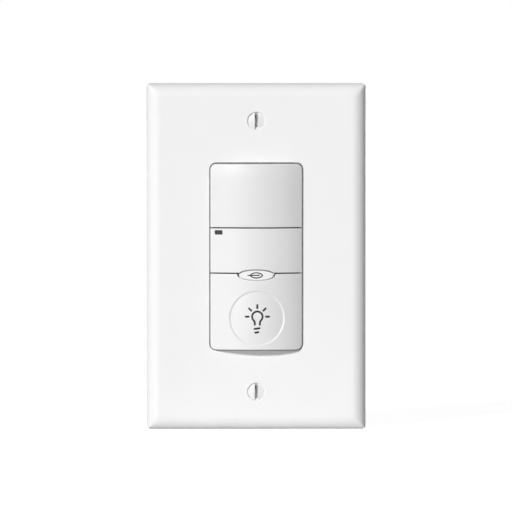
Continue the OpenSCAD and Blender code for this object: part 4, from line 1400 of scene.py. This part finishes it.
@dataclass
class WallPlate:
    """Plate with a rolled edge, soft corner ridges and steep screw recesses.

    leans and walls give the range of a face normal's y on the rolled edge and in a
    recess.
    """

    width: float = 78.5
    height: float = 123.8
    depth: float = 6.2
    edge_r: float = 5.0
    soft: float = 0.9
    cuts: Tuple[float, ...] = (0.25, 0.5, 0.8, 1.2, 1.7)
    cut_weld: float = 1e-7
    pitch: float = 96.84
    ring_z: float = 5.62
    recess_r: float = 3.3
    recess_reach: float = 4.0
    near: float = 0.01
    slope_step: float = 1e-3
    leans: Point = (-0.9999, -0.02)
    walls: Point = (-0.95, -0.2)

    def roll(self, inset: float) -> float:
        """Height of the rolled edge at an inset from the plate's side."""
        away = self.edge_r - min(max(inset, 0.0), self.edge_r)
        return self.depth - self.edge_r + math.sqrt(self.edge_r ** 2 - away ** 2)

    def front(self, x: float, y: float, soft: float) -> float:
        """Gives the height of the plate's front.

        Args:
            x: Sideways place.
            y: Height on the plate.
            soft: Size of the corner ridges' rounding, as a share of the inset.

        Returns:
            The height at that place.
        """
        a, b = self.width / 2 - abs(x), self.height / 2 - abs(y)
        low = min(a, b, self.edge_r)
        size = soft * low * (1 - (low / self.edge_r) ** 2)
        return self.roll(soft_min(a, b, size) if size > 0 else low)

    def normal(self, x: float, y: float) -> Vector:
        """Gives the direction of the softened front.

        Args:
            x: Sideways place.
            y: Height on the plate.

        Returns:
            The normal, in the row frame.
        """
        e, soft = self.slope_step, self.soft
        rise_x = (self.front(x + e, y, soft) - self.front(x - e, y, soft)) / (2 * e)
        rise_y = (self.front(x, y + e, soft) - self.front(x, y - e, soft)) / (2 * e)
        return Vector((-rise_x, -1.0, -rise_y)).normalized()

    def axis(self, at: Vector) -> Vector:
        """Point on the nearer screw's axis, level with a place."""
        return Vector((0, at.y, math.copysign(self.pitch / 2 * MM, at.z)))

    def reach(self, vert: bmesh.types.BMVert) -> float:
        """Distance of a point from the nearer screw's axis, in millimetres."""
        return (vert.co - self.axis(vert.co)).length / MM

    def recess(self, bm: bmesh.types.BMesh) -> List[bmesh.types.BMFace]:
        """Finds the sloping faces of the screw recesses."""
        return [f for f in bm.faces if self.walls[0] < f.normal.y < self.walls[1]
                and all(self.reach(v) < self.recess_reach for v in f.verts)]

    def split(self, bm: bmesh.types.BMesh, faces: List[bmesh.types.BMFace], at: Vector,
              across: Vector) -> None:
        """Cuts faces along a plane.

        Args:
            bm: Mesh of the plate.
            faces: Faces to cut.
            at: Point in the plane.
            across: Direction across the plane.
        """
        edges = {e for f in faces for e in f.edges}
        verts = {v for f in faces for v in f.verts}
        bmesh.ops.bisect_plane(bm, geom=[*verts, *edges, *faces], dist=self.cut_weld, plane_co=at,
                               plane_no=across)

    def divide(self, bm: bmesh.types.BMesh) -> None:
        """Cuts the rolled edge beside each corner ridge, and rings the recesses.

        Args:
            bm: Mesh of the plate.
        """
        span = self.edge_r * MM
        for sx, sy in ((-1, -1), (-1, 1), (1, -1), (1, 1)):
            corner = Vector((sx * self.width / 2, 0, sy * self.height / 2)) * MM
            for t in (*self.cuts, *[-c for c in self.cuts]):
                faces = [f for f in bm.faces if self.leans[0] < f.normal.y < self.leans[1] and any(
                    abs(v.co.x - corner.x) < span and abs(v.co.z - corner.z) < span
                    for v in f.verts)]
                self.split(bm, faces, corner + Vector((0, 0, sy * t * MM)), Vector((-sx, 0, sy)))
        self.split(bm, self.recess(bm), Vector((0, -self.ring_z * MM, 0)), Vector((0, 1, 0)))

    def shape(self, bm: bmesh.types.BMesh, kept: bmesh.types.BMLayerItem) -> List[Vector]:
        """Rounds the ridges, steepens the recesses and gives all normals.

        Args:
            bm: Mesh of the plate.
            kept: Layer with the CAD model's normals.

        Returns:
            The normal of each corner of each face.
        """
        spots = {v: (v.co.x / MM, v.co.z / MM) for v in bm.verts}
        rolled = {v for v in bm.verts if abs(-v.co.y / MM - self.front(*spots[v], 0)) < self.near}
        steep = {f for f in self.recess(bm)
                 if all(-v.co.y / MM > self.ring_z - self.near for v in f.verts)}
        ring_r = min(self.reach(v) for f in steep for v in f.verts)
        rims = {v for f in steep for v in f.verts if -v.co.y / MM > self.depth - self.near}
        fronts = {f for f in bm.faces
                  if f.normal.y < self.leans[1] and all(v in rolled for v in f.verts)}
        for v in rolled:
            v.co.y = -self.front(*spots[v], self.soft) * MM
        for v in rims:
            axis = self.axis(v.co)
            v.co = axis + (v.co - axis) * (self.recess_r / self.reach(v))
        lean = Vector((0, (ring_r - self.recess_r) / (self.depth - self.ring_z), 0))
        normals = []
        for f in bm.faces:
            for loop in f.loops:
                at = loop.vert.co
                if f in fronts:
                    normals.append(self.normal(*spots[loop.vert]))
                elif f in steep:
                    normals.append(((self.axis(at) - at).normalized() + lean).normalized())
                else:
                    normals.append(Vector(loop[kept]))
        return normals

    def build(self) -> None:
        """Copies the plate and finishes its front."""
        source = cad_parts["wall_plate"].data
        bm = bmesh.new()
        bm.from_mesh(source)
        bm.faces.ensure_lookup_table()
        kept = bm.loops.layers.float_vector.new("kept")
        for polygon in source.polygons:
            for loop, i in zip(bm.faces[polygon.index].loops, polygon.loop_indices):
                loop[kept] = source.corner_normals[i].vector
        bmesh.ops.remove_doubles(bm, verts=bm.verts, dist=CAD_WELD)
        self.divide(bm)
        bm.normal_update()
        normals = self.shape(bm, kept)
        bm.loops.layers.float_vector.remove(kept)
        mesh = settle(bm, "plate_moulding", PLATE, Body.DEVICE, "wall_plate")
        mesh.normals_split_custom_set(normals)


@dataclass(frozen=True)
class ScrewPair:
    """Two equal screws, one above the other, with threads wound round thinner cores.

    apart is their distance, and span the rear and front end of the thread.
    """

    node: str
    name: str
    apart: float
    span: Point
    slot: str
    thread_r: float = 1.75
    core_r: float = 1.4
    pitch: float = 0.79
    ridge_share: float = 0.42
    ridge_sides: int = 4
    turn_points: int = 24
    near: float = 0.02

    def axis(self, at: Vector) -> float:
        """Height of the axis that is nearer to a place, in metres."""
        return math.copysign(self.apart / 2 * MM, at.z)

    def build(self) -> bpy.types.Mesh:
        """Copies the screws with thinner cores and winds their threads.

        Returns:
            The mesh of the cores with their heads.
        """
        bm = bmesh.new()
        bm.from_mesh(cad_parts[self.node].data)
        bmesh.ops.remove_doubles(bm, verts=bm.verts, dist=CAD_WELD)
        shrink, front = self.core_r / self.thread_r, (self.span[1] - self.near) * MM
        for v in bm.verts:
            axis = self.axis(v.co)
            reach = math.hypot(v.co.x, v.co.z - axis)
            if -v.co.y <= front and reach > (self.thread_r - self.near) * MM:
                v.co.x *= shrink
                v.co.z = axis + (v.co.z - axis) * shrink
        mesh = settle(bm, self.name, self.slot, Body.DEVICE, self.node)
        settle(self.threads(), self.name + "_thread", self.slot, Body.DEVICE)
        return mesh

    def threads(self) -> bpy.types.Mesh:
        """Winds a thread ridge round each core.

        Returns:
            The mesh of both threads.
        """
        ridge = self.pitch * self.ridge_share
        length = self.span[1] - self.span[0] - 2 * ridge
        rig = Rig(self.name + "_thread", {
            "Radius": (self.thread_r - ridge) * MM, "Length": length * MM,
            "Turns": length / self.pitch, "Ridge": ridge * MM},
            {"Points per turn": self.turn_points})
        source = rig.source
        wound = rig.make("CurveSpiral", Resolution=source["Points per turn"],
                         Rotations=source["Turns"], Start_Radius=source["Radius"],
                         End_Radius=source["Radius"], Height=source["Length"])
        tooth = rig.make("CurvePrimitiveCircle", Resolution=self.ridge_sides,
                         Radius=source["Ridge"])
        turns = rig.make("CurveToMesh", Curve=wound, Profile_Curve=tooth, Fill_Caps=True)
        spots = rig.make("MeshToPoints", Mesh=source["Geometry"])
        each = rig.make("InstanceOnPoints", Points=spots, Instance=turns)
        feet = [[(0, s * self.apart / 2, self.span[0] + ridge)] for s in (-1, 1)]
        return rig.mesh(feet, each, self.slot)


@dataclass
class Fixings:
    """Strap and the screws that hold the device and its plate."""

    box: ScrewPair = ScrewPair("box_screws", "box_screw_pair", 83.34, (-22.0, -0.8), "zinc_steel")
    plate: ScrewPair = ScrewPair("plate_screws", "plate_screw_pair", 96.84, (-4.0, 0.15),
                                 "screw_white")
    head_r: float = 3.2
    head_z: float = 5.6
    dome_h: float = 0.5
    dome_near: float = 1e-5
    dome_facing: float = 0.9
    slots: Dict[str, str] = field(default_factory=lambda: {
        "mounting_strap": "zinc_steel", "screw_retainers": "fibre",
        "ground_screw": "green_steel", "indicator_window": "window_smoke"})

    def round_off(self, mesh: bpy.types.Mesh) -> None:
        """Gives the plate screws' domes the normals of a true ball.

        Args:
            mesh: Mesh of the two plate screws.
        """
        dome_r = (self.head_r ** 2 + self.dome_h ** 2) / (2 * self.dome_h)
        depth = -(self.head_z + self.dome_h - dome_r) * MM
        normals = []
        for face in mesh.polygons:
            for corner in face.vertices:
                at = mesh.vertices[corner].co
                away = at - Vector((0, depth, self.plate.axis(at)))
                out = away.normalized()
                lies = abs(away.length - dome_r * MM) < self.dome_near
                faces = face.normal.dot(out) > self.dome_facing
                normals.append(out if lies and faces else Vector())
        mesh.normals_split_custom_set(normals)

    def build(self) -> None:
        """Dresses the strap and makes the screws."""
        dress(self.slots)
        self.box.build()
        self.round_off(self.plate.build())


@dataclass
class Casing:
    """Frame, housing and terminals behind the plate."""

    slots: Dict[str, str] = field(default_factory=lambda: {
        "front_frame": "frame_grey", "rear_housing": "housing_grey", "housing_screws": "zinc_steel",
        "line_terminal": "brass", "load_terminal": "brass", "neutral_terminal": "nickel",
        "terminal_screws": "brass"})

    def build(self) -> None:
        """Dresses the casing."""
        dress(self.slots)


@dataclass
class Electronics:
    """Boards and their parts inside the housing."""

    slots: Dict[str, str] = field(default_factory=lambda: {
        "sensor_board": "board_green", "power_board": "board_green", "detector_can": "can_metal",
        "detector_window": "filter_black", "detector_spacer": "spacer_white",
        "status_led": "led_body", "daylight_sensor": "led_body", "controller_chip": "chip_black",
        "paddle_switch": "chip_black", "mode_switch": "chip_black", "board_link": "chip_black",
        "paddle_plunger": "plunger_brown", "mode_plunger": "plunger_brown", "relay": "relay_blue",
        "film_capacitor": "film_yellow", "storage_capacitor": "sleeve_navy",
        "varistor": "disc_blue", "choke": "coil_copper", "fuse": "chip_black"})

    def build(self) -> None:
        """Dresses every part on the boards."""
        dress(self.slots)


class LampKind(Enum):
    """How the light of a lamp spreads."""

    SUN = "SUN"
    AREA = "AREA"


@dataclass(frozen=True)
class Lamp:
    """Soft lamp aimed at the face; level is the light on a surface that faces it."""

    name: str
    kind: LampKind
    place: Triple
    size: float
    level: float

    def light(self) -> None:
        """Hangs the lamp and sets its strength."""
        data = bpy.data.lights.new(self.name, self.kind.value)
        reach = Vector(self.place)
        if self.kind is LampKind.SUN:
            data.angle = self.size / reach.length
            data.energy = self.level * math.pi
        else:
            data.shape, data.size = "SQUARE", self.size
            data.energy = self.level * math.pi ** 2 * reach.length_squared
        lamp = show(self.name, data)
        lamp.location = reach
        lamp.rotation_euler = (-reach).to_track_quat("-Z", "Y").to_euler()


@dataclass
class Studio:
    """White floor, soft lamps and the frontal camera, in metres."""

    floor_z: float = -0.0619
    floor_half: float = 8.0
    floor_shade: float = 0.78
    glow: float = 0.8
    ambient: float = 0.14
    distance: float = 3.0
    focal_mm: float = 589.4
    sensor_mm: float = 36.0
    clip: Point = (0.05, 20.0)
    slope: Point = (-0.02, 0.03)
    aim: Point = (-0.00002, -0.00002)
    lamps: Tuple[Lamp, ...] = (
        Lamp("key", LampKind.SUN, (-0.65, -1.13, 0.5), 0.2, 0.825),
        Lamp("left_box", LampKind.AREA, (-1.8, -0.8, 0.2), 1.2, 0.02),
        Lamp("top_box", LampKind.AREA, (-0.1, -0.8, 1.6), 1.2, 0.06),
        Lamp("rear", LampKind.SUN, (0.5, 1.7, 0.2), 0.5, 0.45),
    )

    def seen(self, tree: Wires) -> Socket:
        """Adds the test for rays that show the background.

        Args:
            tree: Tree of the shader.

        Returns:
            A socket that is 1 for camera, glossy and transmission rays.
        """
        rays = tree.node("ShaderNodeLightPath").outputs
        either = tree.maths("MAXIMUM", rays["Is Camera Ray"], rays["Is Glossy Ray"])
        return tree.maths("MAXIMUM", either, rays["Is Transmission Ray"])

    def floor(self) -> None:
        """Lays the pale floor, which keeps the part's shadow."""
        paint = bpy.data.materials.new("floor_white")
        paint.use_nodes = True
        nodes, tree = paint.node_tree.nodes, Wires(paint.node_tree)
        nodes.remove(nodes["Principled BSDF"])
        matt = tree.out("ShaderNodeBsdfDiffuse", Color=(*[self.floor_shade] * 3, 1.0))
        level = tree.maths("MULTIPLY", self.seen(tree), self.glow)
        glow = tree.out("ShaderNodeEmission", Strength=level)
        both = tree.node("ShaderNodeAddShader")
        for part, socket in zip((matt, glow), both.inputs):
            tree.wire(part, socket)
        tree.feed(nodes["Material Output"], Surface=both.outputs[0])
        h, z = self.floor_half, self.floor_z
        mesh = bpy.data.meshes.new("floor")
        mesh.from_pydata([(-h, -h, z), (h, -h, z), (h, h, z), (-h, h, z)], [], [(0, 1, 2, 3)])
        mesh.materials.append(paint)
        show("floor", mesh)

    def sky(self) -> None:
        """Makes the white surroundings, dimmer for the light they give."""
        world = bpy.data.worlds.new("surroundings")
        world.use_nodes = True
        bpy.context.scene.world = world
        tree = Wires(world.node_tree)
        level = tree.out("ShaderNodeMapRange", Value=self.seen(tree), To_Min=self.ambient,
                         To_Max=1.0)
        tree.feed(world.node_tree.nodes["Background"], Color=(1, 1, 1, 1), Strength=level)

    def camera(self) -> None:
        """Sets up the camera straight in front of the face."""
        data = bpy.data.cameras.new("camera")
        data.lens, data.sensor_width = self.focal_mm, self.sensor_mm
        data.clip_start, data.clip_end = self.clip
        camera = show("camera", data)
        away = Vector((self.slope[0], -1.0, self.slope[1])) * self.distance
        camera.location = Vector((self.aim[0], 0.0, self.aim[1])) + away
        camera.rotation_euler = (-away).to_track_quat("-Z", "Y").to_euler()
        bpy.context.scene.camera = camera

    def build(self) -> None:
        """Builds floor, light and camera."""
        bpy.context.scene.view_settings.view_transform = "Standard"
        self.camera()
        self.floor()
        self.sky()
        for lamp in self.lamps:
            lamp.light()


def main() -> None:
    """Builds the sub-assemblies in order."""
    logging.basicConfig(level=logging.INFO, format="%(name)s: %(message)s")
    for kind in (Studio, WallPlate, Fixings, Casing, Electronics, SensorLens, CentrePanel,
                 LightPaddle, ModeButton):
        LOG.info("building %s", kind.__name__)
        kind().build()


if __name__ == "__main__":
    main()
